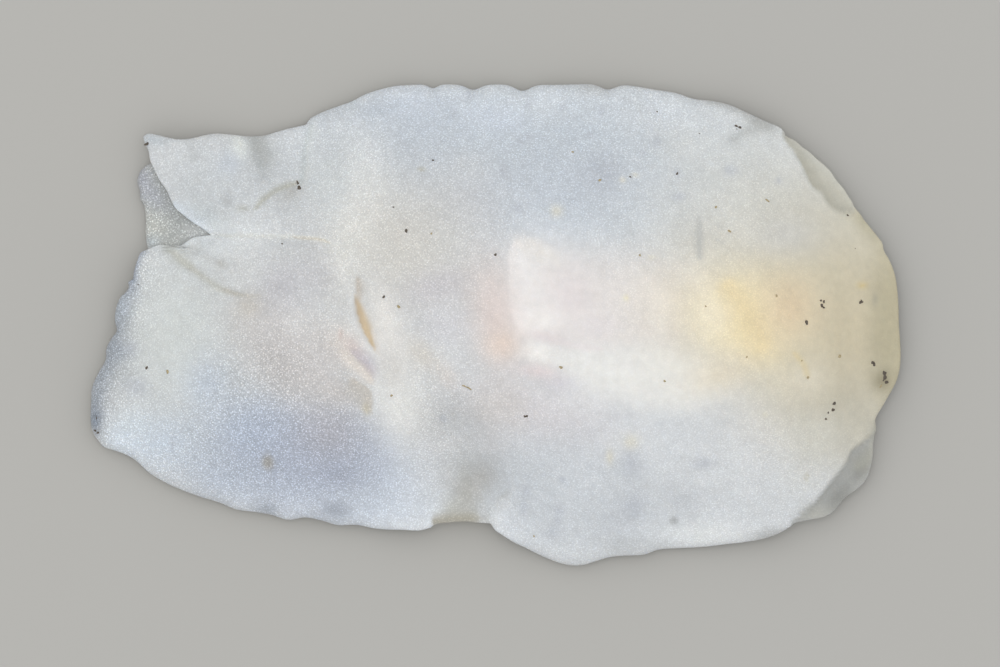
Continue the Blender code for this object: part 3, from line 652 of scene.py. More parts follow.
LINE_TINTS = (
    # Painted shade in the left lobe's valley and its dimple
    Tint(Line(LOBE_VALLEY, 0.7, 0.3, 0.45), (182, 186, 187), 0.4),
    Tint(Line(LOBE_VALLEY[:5], 0.7, 0.3, 0.45), (180, 184, 184), 0.55),
    spot((-9.4, 7.1), (0.35, 0.7), (170, 172, 170), 0.6, 20.0),
    # Painted highlight on the bump beside the valley, then painted shade below it
    spot((-10.2, 7.15), (0.3, 0.5), (228, 233, 229), 0.8, 15.0),
    spot((-10.6, 6.45), (0.5, 0.5), (198, 206, 216), 0.6, 20.0),
    Tint(Line(((-12.4, 7.5), (-12.1, 7.0), (-11.9, 6.5)), 0.22, 0.22, 0.2), (194, 198, 200), 0.7),
    spot((-10.66, 4.98), (0.24, 0.28), (180, 183, 185), 0.75),
    spot((-10.02, 4.64), (0.24, 0.14), (184, 184, 174), 0.6),
    spot((-11.94, 3.0), (0.32, 0.22), (193, 196, 194), 0.5, -30.0),
    spot((-10.9, 2.45), (0.26, 0.18), (193, 193, 188), 0.6, -30.0),
    Tint(Line(NECK_EDGE, 0.3, 0.12, 0.3), (213, 217, 216), 0.6),
    Tint(Line(NECK_EDGE, 0.05, 0.16, 0.3), (194, 201, 203), 0.7),
    spot((-8.1, 5.3), (0.5, 0.35), (184, 183, 178), 0.6, 30.0),
    Tint(Line(OLIVE_CREASE, 0.1, 0.16, 0.3), (186, 186, 176), 0.8),
    # Painted shade in the valley beside the flap
    spot((-1.15, -6.8), (0.75, 1.5), (180, 180, 175), 0.9, 8.0),
    spot((-1.7, -7.35), (0.5, 0.4), (172, 172, 163), 0.6),
    spot((-0.5, -6.1), (0.6, 0.8), (182, 180, 176), 0.6, -30.0),
    # Painted highlight on the flap's corner
    spot((0.3, -7.4), (0.4, 0.5), (226, 230, 234), 0.7),
    spot((-1.75, -5.9), (0.3, 0.5), (211, 213, 215), 0.6, 10.0),
    Tint(Line(VALLEY_RIM, 0.28, 0.3, 0.15), (164, 160, 147), 0.9),
    spot((-0.5, -7.8), (0.3, 0.22), (184, 184, 180), 0.7),
    # Painted shade on the valley side of the flap's edge, then painted highlight on the flap's side
    Tint(Line(FLAP_EDGE, 0.3, 0.04, 0.45), (186, 186, 182), 0.4),
    Tint(Line(FLAP_EDGE, 0.03, 0.3, 0.4), (222, 225, 226), 0.7),
    spot((-5.8, -0.95), (0.5, 0.4), (226, 217, 211), 0.5, -45.0),
    spot((-6.1, -0.36), (0.1, 0.22), (209, 192, 186), 0.7),
    spot((-5.06, -1.55), (0.3, 0.5), (207, 204, 210), 0.7, 25.0),
    spot((-5.62, -0.82), (0.42, 0.26), (211, 198, 196), 0.6, -50.0),
    Tint(Line(LILAC_LINE, 0.34, 0.05, 0.3), (188, 179, 187), 0.65),
    Tint(Line(RIDGE_SHADE, 0.08, 0.65, 0.4), (202, 196, 187), 0.75),
    spot((-5.1, -3.35), (0.14, 0.26), (206, 198, 170), 0.5),
    Tint(Line(NECK_RIDGE, 0.2, 0.32, 0.35), (227, 220, 212), 0.85),
    Tint(Line(GROOVE_WIDE, 0.28, 0.28, 0.35), (197, 199, 193), 0.85),
    Tint(Line(GROOVE_LINE, 0.13, 0.13, 0.35), (201, 201, 192), 0.75),
    spot((-13.02, 3.12), (0.2, 0.3), (176, 180, 176), 0.6, -40.0),
    spot((-12.3, 3.05), (0.4, 0.16), (214, 217, 216), 0.6, 15.0),
    spot((-11.7, 2.5), (0.6, 0.16), (223, 227, 227), 0.6, -25.0),
    spot((-11.0, 1.35), (0.4, 0.12), (220, 222, 217), 0.5, -20.0),
    Tint(Line(GROOVE_DARK, 0.09, 0.09, 0.3), (196, 192, 183), 0.7),
    Tint(Line(SEAM_LIGHT, 0.1, 0.1, 0.15), (226, 227, 221), 0.6),
    Tint(Line(SEAM_TAN, 0.05, 0.06, 0.35), (210, 202, 186), 0.7),
    Tint(Line(SLIT_LINE, 0.08, 0.42, 0.5), (220, 211, 199), 0.6),
    Tint(Line(SLIT_HEAD, 0.1, 0.2, 0.4), (197, 187, 174), 0.7),
    Tint(Line(SLIT_LINE, 0.02, 0.33, 0.5, FIRM), (209, 190, 159)),
    Tint(Line(SLIT_LINE[4:], 0.03, 0.12, 0.4), (188, 171, 148), 0.5),
    # Painted shade in the front crease and its branch
    Tint(Line(FRONT_CREASE, 0.12, 0.2, 0.4), (188, 189, 186), 0.7),
    Tint(Line(FRONT_BRANCH, 0.05, 0.06, 0.3), (194, 195, 191), 0.6),
    # Painted shade under the margin and in the crease at the head's left corner
    Tint(Line(CORNER_RIM, 0.3, 0.3, 0.3), (180, 182, 181), 0.7),
    Tint(Line(CORNER_CREASE, 0.3, 0.36, 0.5), (182, 185, 184), 0.65),
    Tint(Line(SLIT_RIM, 0.1, 0.1, 0.3, FIRM), (224, 221, 216), 0.85),
    # Painted shade where that crease is darkest
    spot((10.8, 8.05), (0.75, 0.3), (164, 165, 162), 0.7, -28.0),
    Tint(Line(HEAD_STEP, 1.4, 0.1, 0.08, FIRM), (186, 184, 172), 0.87),
    # Painted shade along the inner line of the head's left step
    Tint(Line(HEAD_STEP, 0.3, 0.06, 0.1), (174, 172, 160), 0.8),
    Tint(Line(CORNER_STEP, 0.12, 1.6, 0.0, FIRM), (162, 163, 160), 0.95),
    # The strip darkest beside the step: painted shadow of the step, on the thin flesh's own grey
    spot((13.9, -6.95), (0.45, 0.7), (128, 129, 125), 0.75, -40.0),
    spot((14.75, -5.65), (0.3, 0.6), (122, 123, 119), 0.8, -25.0),
    spot((12.8, -7.5), (0.55, 0.35), (172, 172, 165), 0.8),
    spot((11.1, -8.4), (0.8, 0.3), (172, 174, 174), 0.8, 12.0),
    spot((-6.35, -7.4), (0.6, 0.42), (154, 160, 171), 0.7),
    spot((15.5, -2.25), (0.4, 0.42), (134, 126, 102), 0.7),
    Tint(Line(((14.6, -5.6), (15.2, -4.9), (15.3, -4.2)), 0.3, 0.3), (164, 164, 155), 0.8),
)
BLOTCH_COLOUR = (188, 193, 202)
BLOTCHES = (
    ((0.38, 6.08), (0.2, 0.28)), ((0.9, 4.64), (0.2, 0.2)), ((1.34, 7.48), (0.16, 0.16)),
    ((1.02, 7.28), (0.13, 0.13)), ((3.82, 7.56), (0.22, 0.13)), ((1.34, 8.8), (0.16, 0.24)),
    ((-1.02, 9.2), (0.13, 0.24)), ((-1.62, 8.52), (0.13, 0.13)), ((2.74, 8.68), (0.13, 0.13)),
    ((4.26, 8.52), (0.13, 0.24)), ((6.46, 7.28), (0.2, 0.28)), ((5.94, 6.84), (0.13, 0.13)),
    ((9.38, 6.16), (0.32, 0.24)), ((11.34, 5.76), (0.14, 0.14)), ((5.42, -5.44), (0.4, 0.72)),
    ((8.3, -5.52), (0.48, 0.24)), ((5.58, -7.16), (0.48, 0.48)), ((2.5, -7.76), (0.16, 0.16)),
    ((1.26, -6.6), (0.2, 0.32)), ((2.7, -6.16), (0.13, 0.13)), ((1.18, -7.36), (0.14, 0.4)),
    ((2.34, -8.28), (0.24, 0.32)), ((2.58, -7.4), (0.2, 0.2)), ((7.28, 6.0), (0.14, 0.2)),
    ((-12.82, -4.76), (0.13, 0.32)), ((-14.54, -1.0), (0.34, 0.34)), ((-14.3, -2.5), (0.5, 0.36)),
    ((4.26, 6.04), (0.8, 0.7)), ((-2.06, -3.72), (0.18, 0.16)), ((7.3, 5.1), (0.3, 0.2)),
)
FLECK_COLOUR = (225, 221, 204)
FLECKS = (
    ((5.1, 5.76), (0.12, 0.12)), ((5.58, 5.96), (0.16, 0.08)), ((2.46, 4.52), (0.24, 0.24)),
    ((5.18, 1.04), (0.12, 0.12)), ((4.58, -5.24), (0.16, 0.32)), ((5.42, -4.64), (0.32, 0.3)),
    ((10.74, -3.56), (0.1, 0.1)), ((6.22, 2.68), (0.16, 0.08)),
)
SPOT_TINTS = (
    spot((-9.03, -5.48), (0.24, 0.32), (172, 168, 160), 0.8, 0.0, FIRM),
    spot((15.2, 1.02), (0.12, 0.26), (166, 162, 146), 0.7),
    spot((5.22, 1.08), (0.1, 0.1), (232, 224, 196), 0.8),
    spot((7.16, -7.82), (0.2, 0.18), (176, 179, 180), 0.8, 0.0, FIRM),
    spot((14.68, 1.58), (0.22, 0.12), (206, 188, 138), 0.8),
    spot((12.46, -6.08), (0.06, 0.16), (190, 184, 158), 0.7),
    spot((-2.9, 6.2), (0.16, 0.08), (184, 182, 164), 0.7),
)
BACK_TINTS = (
    *BROAD_TINTS, *GIZZARD_TINTS, *YELLOW_TINTS, *LINE_TINTS,
    *(spot(place, reach, BLOTCH_COLOUR, 0.55) for place, reach in BLOTCHES),
    *(spot(place, reach, FLECK_COLOUR, 0.65) for place, reach in FLECKS),
    *SPOT_TINTS,
)
FOOT_GREY = (180, 183, 181)
FOOT_TINTS = (
    spot((-13.0, 4.6), (0.7, 0.9), (176, 180, 180), 0.7, 35.0),
    spot((-14.05, 4.4), (0.42, 1.3), (207, 211, 209), 0.85),
    spot((-14.1, 5.8), (0.35, 0.8), (174, 177, 187), 0.7),
    spot((-13.6, 5.1), (0.4, 0.8), (172, 176, 190), 0.5, 25.0),
    spot((-13.55, 4.0), (0.5, 0.6), (206, 208, 202), 0.85),
    # Painted light that lifts the shade under the upper layer's edges: at the lobe's corner, at the groove's
    # mouth and at the notch's apex
    spot((-13.7, 3.35), (0.4, 0.25), (192, 200, 204), 0.8),
    spot((-13.1, 3.3), (0.4, 0.25), (196, 198, 194), 0.7), spot((-11.6, 3.75), (0.7, 0.35), (216, 219, 219)),
    spot((14.2, -6.0), (2.4, 2.4), (158, 159, 156), 1.0, 0.0, FIRM),
    spot((13.4, 5.6), (1.8, 2.2), (190, 190, 184), 1.0, 0.0, FIRM),
    spot((-1.3, -7.6), (2.4, 1.2), (176, 172, 160), 1.0, 0.0, FIRM),
)
UNDER_COLOUR = (184, 185, 180)
SOLE_COLOUR = (192, 190, 182)
USUAL_GRAIN = 0.8
BACK_GRAINS = (
    Grain(Patch((-8.5, -4.2), (6.5, 3.6), 0.0, FIRM), 1.6),
    Grain(Patch((-13.0, -1.0), (1.8, 3.0)), 0.5),
    Grain(Line(TAIL_MARGIN, 0.9, 1.2), 1.9),
    Grain(Patch((-6.5, -2.1), (1.2, 1.2)), 0.8),
    Grain(Patch((0.5, 8.2), (11.0, 2.4), 0.0, FIRM), 1.0),
    Grain(Patch((10.5, 5.0), (4.5, 4.0), 0.0, FIRM), 0.6),
    Grain(Patch((5.5, -6.5), (8.0, 3.5), 0.0, FIRM), 0.65),
    Grain(Patch((7.5, -0.6), (8.5, 4.0), 0.0, FIRM), 0.35),
    Grain(Patch((2.2, 1.0), (2.4, 2.8), 0.0, FIRM), 0.1),
    Grain(Patch((5.8, -2.0), (3.4, 1.4), -8.0, FIRM), 0.12),
    Grain(Patch((-4.3, -1.6), (1.4, 4.2), 8.0, FIRM), 0.5),
    Grain(Line(SLIT_LINE, 0.2, 0.5, 0.2), 0.15),
    Grain(Patch((14.8, 0.6), (3.4, 6.6), 0.0, FIRM), 0.12),
    Grain(Line(HEAD_STEP, 1.4, 0.1, 0.0, FIRM), 0.2),
    Grain(Line(CORNER_STEP, 0.12, 1.6, 0.0, FIRM), 0.3),
)
LOWER_GRAINS = (
    Grain(Patch((-13.2, 4.9), (2.0, 2.6), 0.0, FIRM), 1.9),
    Grain(Patch((14.8, 0.0), (3.4, 7.6), 0.0, FIRM), 0.2),
)


@dataclass(frozen=True)
class Body:
    """Heights and thicknesses of the flesh, and the surfaces that follow from them."""

    back_height: float = 4.3
    margin_height: float = 0.75
    shoulder: float = 5.6
    sheet: float = 0.26
    sheet_blend: float = 0.2
    foot_edge: float = 0.6
    foot_middle: float = 1.0
    foot_shoulder: float = 3.0
    gap: float = 0.06
    clearance: float = 0.08
    droop_start: float = 0.9
    droop_end: float = 2.3
    notch_steepness: float = 2.2
    ring_step: float = 0.4
    pull_step: float = 0.1

    def foot_depth(self, points: Array) -> Array:
        """How far in from the foot's edge each point lies."""
        return ring_depth(points, joined((FOOT_EDGE, FOOT_HEEL), self.ring_step))

    def foot_top(self, points: Array) -> Array:
        """The foot's upper surface: its edge's height, rising smoothly to the middle's."""
        rise = smoothstep(self.foot_depth(points) / self.foot_shoulder)
        return self.foot_edge + (self.foot_middle - self.foot_edge) * rise

    def underside(self, points: Array) -> Array:
        """The upper layer's lower surface: a gap over the foot, then sinking to the ground."""
        lobe = joined((PALLIAL_EDGE, FOOT_HEEL[::-1]), self.ring_step)
        inside = np.maximum(self.foot_depth(points), ring_depth(points, lobe))
        droop = smoothstep((-inside - self.droop_start) / (self.droop_end - self.droop_start))
        over = self.foot_top(points) + self.gap
        return over + (self.clearance - over) * droop

    def fullness(self, points: Array) -> Array:
        """How full the back is, from 0 at the margin to 1 at its plateau.

        The depth in from the margin is (2P/pi)^(-1/3) with P the margin's pull. That is
        the plain distance from a straight margin, but without a crease in the middle. The
        notch in the tail counts less, by the cube of how much steeper the flesh rises
        from it. The depth is divided by the shoulder's width, and half of the rise is a
        parabola and half a smooth step.
        """
        straight = LEFT_LOBE_TIP, LOBE_CORNER
        ring = joined((LEFT_LOBE_MARGIN, straight) + UPPER_MARGIN[4:], self.pull_step)
        notch = smooth_path(LEFT_LOBE_EDGE[1:] + FOLD_EDGE[1:], self.pull_step)
        total = pull(points, closed(ring)) + pull(points, notch) / self.notch_steepness**3
        t = np.clip((2.0 * total / np.pi) ** (-1.0 / 3.0) / self.shoulder, 0.0, 1.0)
        return (1.0 - (1.0 - t) ** 2 + smoothstep(t)) / 2.0

    def back(self, points: Array) -> Array:
        """The back's height: margin to plateau by its fullness, with all folds added.

        Before the fine folds it is kept a sheet's thickness above the underside, by the
        smooth maximum of a and b, half of a + b plus the root of (a - b)^2 + blend^2.
        """
        rise = self.margin_height + (self.back_height - self.margin_height) * self.fullness(points)
        rise = raised(rise, MAIN_FOLDS, points)
        least = self.underside(points) + self.sheet
        rise = (rise + least + np.sqrt((rise - least) ** 2 + self.sheet_blend**2)) / 2.0
        return raised(rise, FINE_FOLDS, points)


@dataclass(frozen=True)
class Ripple:
    """Gentle unevenness of the back: a sum of waves with seeded directions and phases."""

    seed: int = 11
    waves: int = 14
    shortest: float = 1.4
    longest: float = 5.5
    rise: float = 0.03
    power: float = 0.7

    def height(self, points: Array) -> Array:
        """Sum of sines, each as high as its share of the longest one's length to the power."""
        draw = np.random.default_rng(self.seed)
        spans = np.geomspace(self.shortest, self.longest, self.waves)
        turns, starts = draw.uniform(0.0, 2.0 * np.pi, (2, self.waves))
        total = np.zeros(len(points))
        for span, turn, start in zip(spans, turns, starts):
            across = points @ np.array([np.cos(turn), np.sin(turn)])
            share = (span / self.longest) ** self.power
            total += share * np.sin(2.0 * np.pi * across / span + start)
        return self.rise * total


class Wire:
    """A shader socket that Python's operators work on, each of them adding a Math node."""

    def __init__(self, tree: "Tree", socket: bpy.types.NodeSocket | None) -> None:
        """Wraps a socket of a tree."""
        self.tree = tree
        self.socket = socket

    def maths(self, operation: str, other: "Wire | float") -> "Wire":
        """Adds a Math node of this socket and another one or a number."""
        return self.tree.node("Math", {"operation": operation}, {0: self, 1: other})

    def __add__(self, other: "Wire | float") -> "Wire":
        """The sum."""
        return self.maths("ADD", other)

    def __sub__(self, other: "Wire | float") -> "Wire":
        """The difference."""
        return self.maths("SUBTRACT", other)

    def __mul__(self, other: "Wire | float") -> "Wire":
        """The product."""
        return self.maths("MULTIPLY", other)

    def step(self, low: float, high: float) -> "Wire":
        """A smooth step from 0 at the low value to 1 at the high one, which may be the smaller."""
        limits = {"Value": self, "From Min": low, "From Max": high}
        return self.tree.node("MapRange", {"interpolation_type": "SMOOTHSTEP"}, limits)


class Tree:
    """The node tree of one material."""

    def __init__(self, name: str) -> None:
        """Starts a material with an empty tree."""
        self.material = bpy.data.materials.new(name)
        self.material.use_nodes = True
        self.nodes = self.material.node_tree.nodes
        self.nodes.clear()

    def node(
        self,
        kind: str,
        settings: dict[str, object] | None = None,
        sockets: dict[str | int, object] | None = None,
        output: str | int = 0,
    ) -> Wire:
        """Adds a node.

        Args:
            kind: The node's type, without the words ShaderNode.
            settings: Its own properties, set first.
            sockets: Values or links for its inputs, by name or number.
            output: The output to return, by name or number.

        Returns:
            The output's socket.
        """
        made = self.nodes.new(f"ShaderNode{kind}")
        for name, value in (settings or {}).items():
            setattr(made, name, value)
        for name, value in (sockets or {}).items():
            if isinstance(value, Wire):
                self.material.node_tree.links.new(value.socket, made.inputs[name])
            else:
                made.inputs[name].default_value = value
        return Wire(self, made.outputs[output] if len(made.outputs) else None)

    def place(self) -> Wire:
        """The place on the object, in metres."""
        return self.node("TexCoord", None, None, "Object")

    def noise(self, place: Wire, size: float, detail: float) -> Wire:
        """Noise about 0 whose features have about that size, in millimetres."""
        sockets = {"Vector": place, "Scale": 1.0 / (size * MM), "Detail": detail}
        return self.node("TexNoise", None, sockets, "Fac") - 0.5

    def scaled(self, colour: Wire | tuple[float, ...], gain: Wire) -> Wire:
        """The colour times the gain."""
        return self.node("VectorMath", {"operation": "SCALE"}, {0: colour, "Scale": gain})

    def finished(self, shader: dict[str | int, object]) -> bpy.types.Material:
        """Ends the tree with the Principled shader of these sockets, and returns the material."""
        surface = self.node("BsdfPrincipled", {"subsurface_method": "RANDOM_WALK"}, shader)
        self.node("OutputMaterial", None, {"Surface": surface})
        return self.material


# The colour that the mesh carries: pigment, with painted light and painted shade
PIGMENT_AND_PAINTED_LIGHT_ATTRIBUTE = "pigment_and_painted_light"
GRAIN_ATTRIBUTE = "grain"


@dataclass(frozen=True)
class WetFlesh:
    """Milky, translucent, wet flesh with fine white granules."""

    granule_size: float = 0.083
    granule_edge: float = 0.52
    granule_middle: float = 0.1
    granule_dimmest: float = 0.5
    fine_size: float = 0.05
    mottle_size: float = 0.34
    blotch_size: float = 1.7
    granule_light: float = 0.42
    granule_mean: float = 0.31
    fine_light: float = 0.5
    mottle_light: float = 0.2
    blotch_light: float = 0.08
    roughness: float = 0.42
    roughness_spread: float = 0.12
    relief: float = 0.008
    relief_strength: float = 0.5
    subsurface: float = 0.25
    subsurface_reach: float = 0.6
    subsurface_radii: tuple[float, float, float] = (1.0, 0.85, 0.7)
    coat: float = 0.12
    coat_roughness: float = 0.25
    refraction: float = 1.38

    def material(self, name: str) -> bpy.types.Material:
        """Builds the material.

        The colour that the mesh carries, pigment with painted light and shade, is made lighter
        at the granules, which are the middles of small random cells, and lighter or darker by
        three sizes of noise. The granules and the finest noise also stand up a little.

        Args:
            name: The material's name.

        Returns:
            The material.
        """
        tree = Tree(name)
        place = tree.place()
        pigment_and_painted_light = tree.node("Attribute", {"attribute_name": PIGMENT_AND_PAINTED_LIGHT_ATTRIBUTE}, None, "Color")
        grain = tree.node("Attribute", {"attribute_name": GRAIN_ATTRIBUTE}, None, "Fac")
        cells = {"Vector": place, "Scale": 1.0 / (self.granule_size * MM)}
        near = tree.node("TexVoronoi", None, cells, "Distance")
        shade = tree.node("TexVoronoi", None, cells, "Color")
        chance = tree.node("SeparateColor", None, {0: shade}, 0)
        light = chance * (1.0 - self.granule_dimmest) + self.granule_dimmest
        dots = near.step(self.granule_edge, self.granule_middle) * light
        fine = tree.noise(place, self.fine_size, detail=1.0)
        mottle = tree.noise(place, self.mottle_size, detail=3.0)
        blotch = tree.noise(place, self.blotch_size, detail=2.0)
        sparkle = (dots - self.granule_mean) * self.granule_light + fine * self.fine_light
        clouds = mottle * self.mottle_light + blotch * self.blotch_light
        bump = {
            "Strength": self.relief_strength,
            "Distance": self.relief * MM,
            "Height": (dots + fine) * grain + mottle,
        }
        return tree.finished({
            "Base Color": tree.scaled(pigment_and_painted_light, sparkle * grain + clouds + 1.0),
            "Roughness": mottle * self.roughness_spread + self.roughness,
            "Normal": tree.node("Bump", None, bump),
            "Subsurface Weight": self.subsurface,
            "Subsurface Radius": self.subsurface_radii,
            "Subsurface Scale": self.subsurface_reach * MM,
            "Coat Weight": self.coat,
            "Coat Roughness": self.coat_roughness,
            "IOR": self.refraction,
        })


@dataclass(frozen=True)
class Grit:
    """Dull dark matter, as in the specks."""

    colour: Colour
    roughness: float = 0.7
    noise_size: float = 0.05

    def material(self, name: str) -> bpy.types.Material:
        """Builds the material, plain apart from a little noise in its colour."""
        tree = Tree(name)
        gain = tree.noise(tree.place(), self.noise_size, detail=2.0) + 1.0
        colour = tree.scaled(tuple(linear(self.colour)), gain)
        return tree.finished({"Base Color": colour, "Roughness": self.roughness})


def linked(name: str, data: bpy.types.ID) -> bpy.types.Object:
    """A new object with that data, in the scene."""
    made = bpy.data.objects.new(name, data)
    bpy.context.scene.collection.objects.link(made)
    return made


def solid(name: str, points: Array, faces: list, material: bpy.types.Material) -> bpy.types.Object:
    """A new smooth object of points in metres, faces and one material, in the scene."""
    mesh = bpy.data.meshes.new(name)
    mesh.from_pydata(points.tolist(), [], faces)
    mesh.shade_smooth()
    mesh.materials.append(material)
    return linked(name, mesh)


@dataclass
class Skin:
    """The one skin that runs over the whole animal, from the back round to the sole.

    Rays go out to the upper layer's margin from the spine: at the tail and the head all of
    them from its two ends, and at the sides from points evenly spaced along it. Along each
    ray the skin runs over the back to the margin, round it, inward under the upper layer,
    out again over the foot to the foot's edge, and inward along the flat sole.
    """

    body: Body
    ripple: Ripple
    finish: WetFlesh
    name: str = "skin"
    tail_rays: int = 240
    side_rays: int = 200
    head_rays: int = 170
    back_rings: int = 89
    rim: float = 0.42
    rim_limit: float = 0.85
    rim_rings: int = 4
    foot_rim: float = 0.3
    crevice: float = 0.9
    least_sheet: float = 0.04
    tuck_rings: int = 5
    shelf_rings: int = 8
    sole_shares: tuple[float, ...] = (1.0, 0.97, 0.9, 0.7, 0.4)
    path_step: float = 0.05
    evened: int = 2
    nick_band: float = 1.0
    pleat_depth: float = 0.07
    pleat_shift: Place = (0.05, -0.5)
    pleat_reach: Place = (0.2, 0.9)
    wave_rise: float = 0.08
    wave_level: float = 0.35
    wave_counts: tuple[tuple[int, float], ...] = ((13, 0.4), (21, 2.2), (34, 4.1))
    wave_reach: float = 1.3
    # Painted light towards the margin, which lifts the shade of its rounded slope, and how far in it reaches
    rim_light: float = 0.09
    rim_light_reach: float = 1.2

    def margin(self) -> Array:
        """The upper layer's margin, with its small nicks, as one point for each ray.

        It is cut where it passes the spine's two ends, into the tail's stretch, the right
        side's, the head's and the left side's, and each has its points evenly spaced.
        """
        ring = joined(UPPER_MARGIN, self.path_step)
        for nick in NICKS:
            dip = nick.depth * np.exp(-(((ring[:, 0] - nick.place[0]) / nick.width) ** 2))
            ring[:, 1] -= dip * (ring[:, 1] > nick.place[1] - self.nick_band)
        path = closed(ring)
        passed = lengths(path)
        before = [path[:, 0] < end[0] for end in (SPINE[0], SPINE[-1])]
        cuts = np.sort(np.concatenate([passed[:-1][side[:-1] != side[1:]] for side in before]))
        counts = (self.tail_rays, self.side_rays, self.head_rays, self.side_rays)
        along = np.concatenate([
            start + (end - start) * np.arange(count) / count
            for start, end, count in zip(cuts, [*cuts[1:], cuts[0] + passed[-1]], counts)
        ])
        return placed(path, along % passed[-1])

    def starts(self) -> Numbers:
        """For each ray, the number of the spine's point that it starts from."""
        side = np.arange(self.side_rays)
        tail, head = np.zeros(self.tail_rays, int), np.full(self.head_rays, self.side_rays)
        return np.concatenate([tail, side, head, self.side_rays - side])

    def spine(self) -> Array:
        """The spine's points."""
        path = smooth_path(SPINE, self.path_step)
        return placed(path, np.linspace(0.0, lengths(path)[-1], self.side_rays + 1))

    def insets(self, ring: Array, ways: Array) -> Array:
        """How far in along each ray the margin starts to round off.

        It is the rim's width divided by the cosine between the ray and the margin's normal,
        up to a limit, then evened out over its neighbours along the margin.
        """
        run = np.roll(ring, -1, axis=0) - np.roll(ring, 1, axis=0)
        run /= np.linalg.norm(run, axis=1)[:, None]
        facing = ways[:, 0] * run[:, 1] - ways[:, 1] * run[:, 0]
        inset = np.minimum(self.rim / np.maximum(facing, TINY), self.rim_limit)
        padded = np.concatenate([inset[-self.evened:], inset, inset[:self.evened]])
        window = 2 * self.evened + 1
        return np.convolve(padded, np.ones(window) / window, mode="valid")

    def waves(self, ring: Array) -> Array:
        """How far each place of the margin is lifted: a sum of waves along it, never below 0."""
        passed = lengths(closed(ring))
        turns = 2.0 * np.pi * passed[:-1] / passed[-1]
        total = np.zeros(len(ring))
        for count, start in self.wave_counts:
            total += np.sin(count * turns + start)
        return self.wave_rise * np.maximum(total / len(self.wave_counts) + self.wave_level, 0.0)

    def top(self, points: Array) -> Array:
        """The back's height with its unevenness and the pleats that run in from the nicks."""
        height = self.body.back(points) + self.ripple.height(points)
        for nick in NICKS:
            middle = nick.place[0] + self.pleat_shift[0], nick.place[1] + self.pleat_shift[1]
            height -= self.pleat_depth * Patch(middle, self.pleat_reach).mask(points)
        return height

    def sheet(self) -> tuple[Array, list[list[int]], Numbers, Array]:
        """The skin's surface.

        Round the upper margin and the foot's edge the height goes from the upper surface to
        the lower one as the two halves of an ellipse: mean plus or minus half the thickness
        times the root of 1 - t^2, with t from 0 where the rounding starts to 1 at the edge.

        Returns:
            The points, the faces, the number of the layer that each point belongs to, and
            how far in from the margin it lies along its ray.
        """
        ring, spine, starts = self.margin(), self.spine(), self.starts()
        origin = spine[starts]
        length = np.linalg.norm(ring - origin, axis=1)
        ways = (ring - origin) / length[:, None]
        inset = self.insets(ring, ways)
        lift = self.waves(ring)
        foot = crossing(joined((FOOT_EDGE, PALLIAL_EDGE), self.path_step), origin, ways)
        edge, foot_inner = length - inset, foot - self.foot_rim
        crevice = np.minimum(edge, foot) - self.crevice
        t = np.sin(np.linspace(0.0, np.pi / 2.0, self.rim_rings + 1))[1:, None]
        round_off = np.sqrt(1.0 - t**2)
        inward = np.linspace(0.0, 1.0, self.tuck_rings)[:, None]
        outward = np.linspace(0.0, 1.0, self.shelf_rings)[:, None]
        sole = np.array(self.sole_shares)[:, None]

        def spots(reach: Array) -> Array:
            """The places at those distances along the rays."""
            return origin + ways * reach[..., None]

        def upper_and_lower(reach: Array) -> tuple[Array, Array]:
            """Heights of the upper layer's two surfaces at those distances along the rays."""
            flat = spots(reach).reshape(-1, 2)
            rise = lift * np.exp(-(((length - reach) / self.wave_reach) ** 2))
            upper = self.top(flat).reshape(reach.shape) + rise
            lower = self.body.underside(flat).reshape(reach.shape) + rise
            return upper, np.minimum(lower, upper - self.least_sheet)

        back = np.linspace(0.0, 1.0, self.back_rings + 1)[1:, None] * edge
        rim = edge + inset * t
        tuck = edge + (crevice - edge) * inward
        back_height, _ = upper_and_lower(back)
        rim_upper, rim_lower = upper_and_lower(rim)
        _, tuck_height = upper_and_lower(tuck)
        middle, half = (rim_upper + rim_lower) / 2.0, (rim_upper - rim_lower) / 2.0 * round_off
        shelf = crevice + (foot_inner - crevice) * outward
        shelf_height = self.body.foot_top(spots(shelf).reshape(-1, 2)).reshape(shelf.shape)
        foot_rim = foot_inner + self.foot_rim * t
        foot_half = self.body.foot_edge / 2.0
        bands = (
            (Layer.BACK, back, back_height),
            (Layer.BACK, rim, middle + half),
            (Layer.UNDERSIDE, rim[-2::-1], (middle - half)[-2::-1]),
            (Layer.UNDERSIDE, tuck, tuck_height),
            (Layer.FOOT, shelf, shelf_height),
            (Layer.FOOT, foot_rim, foot_half * (1.0 + round_off)),
            (Layer.FOOT, foot_rim[-2::-1], foot_half * (1.0 - round_off[-2::-1])),
            (Layer.SOLE, foot_inner * sole, 0.0 * sole),
        )
        reach = np.vstack([band for _, band, _ in bands])
        height = np.vstack([np.broadcast_to(rise, band.shape) for _, band, rise in bands])
        places = np.concatenate([spots(reach), height[..., None]], axis=2)
        top = np.column_stack([spine, self.top(spine)])
        bottom = np.column_stack([spine, np.zeros(len(spine))])
        points, faces = lofted(top, places, bottom, starts)
        first, last = np.full(len(spine), Layer.BACK.value), np.full(len(spine), Layer.SOLE.value)
        rings = [layer.value for layer, band, _ in bands for _ in range(band.size)]
        deep = np.full(len(spine), length.min())
        depth = np.concatenate([deep, (length - reach).ravel(), deep])
        return points, faces, np.concatenate([first, rings, last]), depth

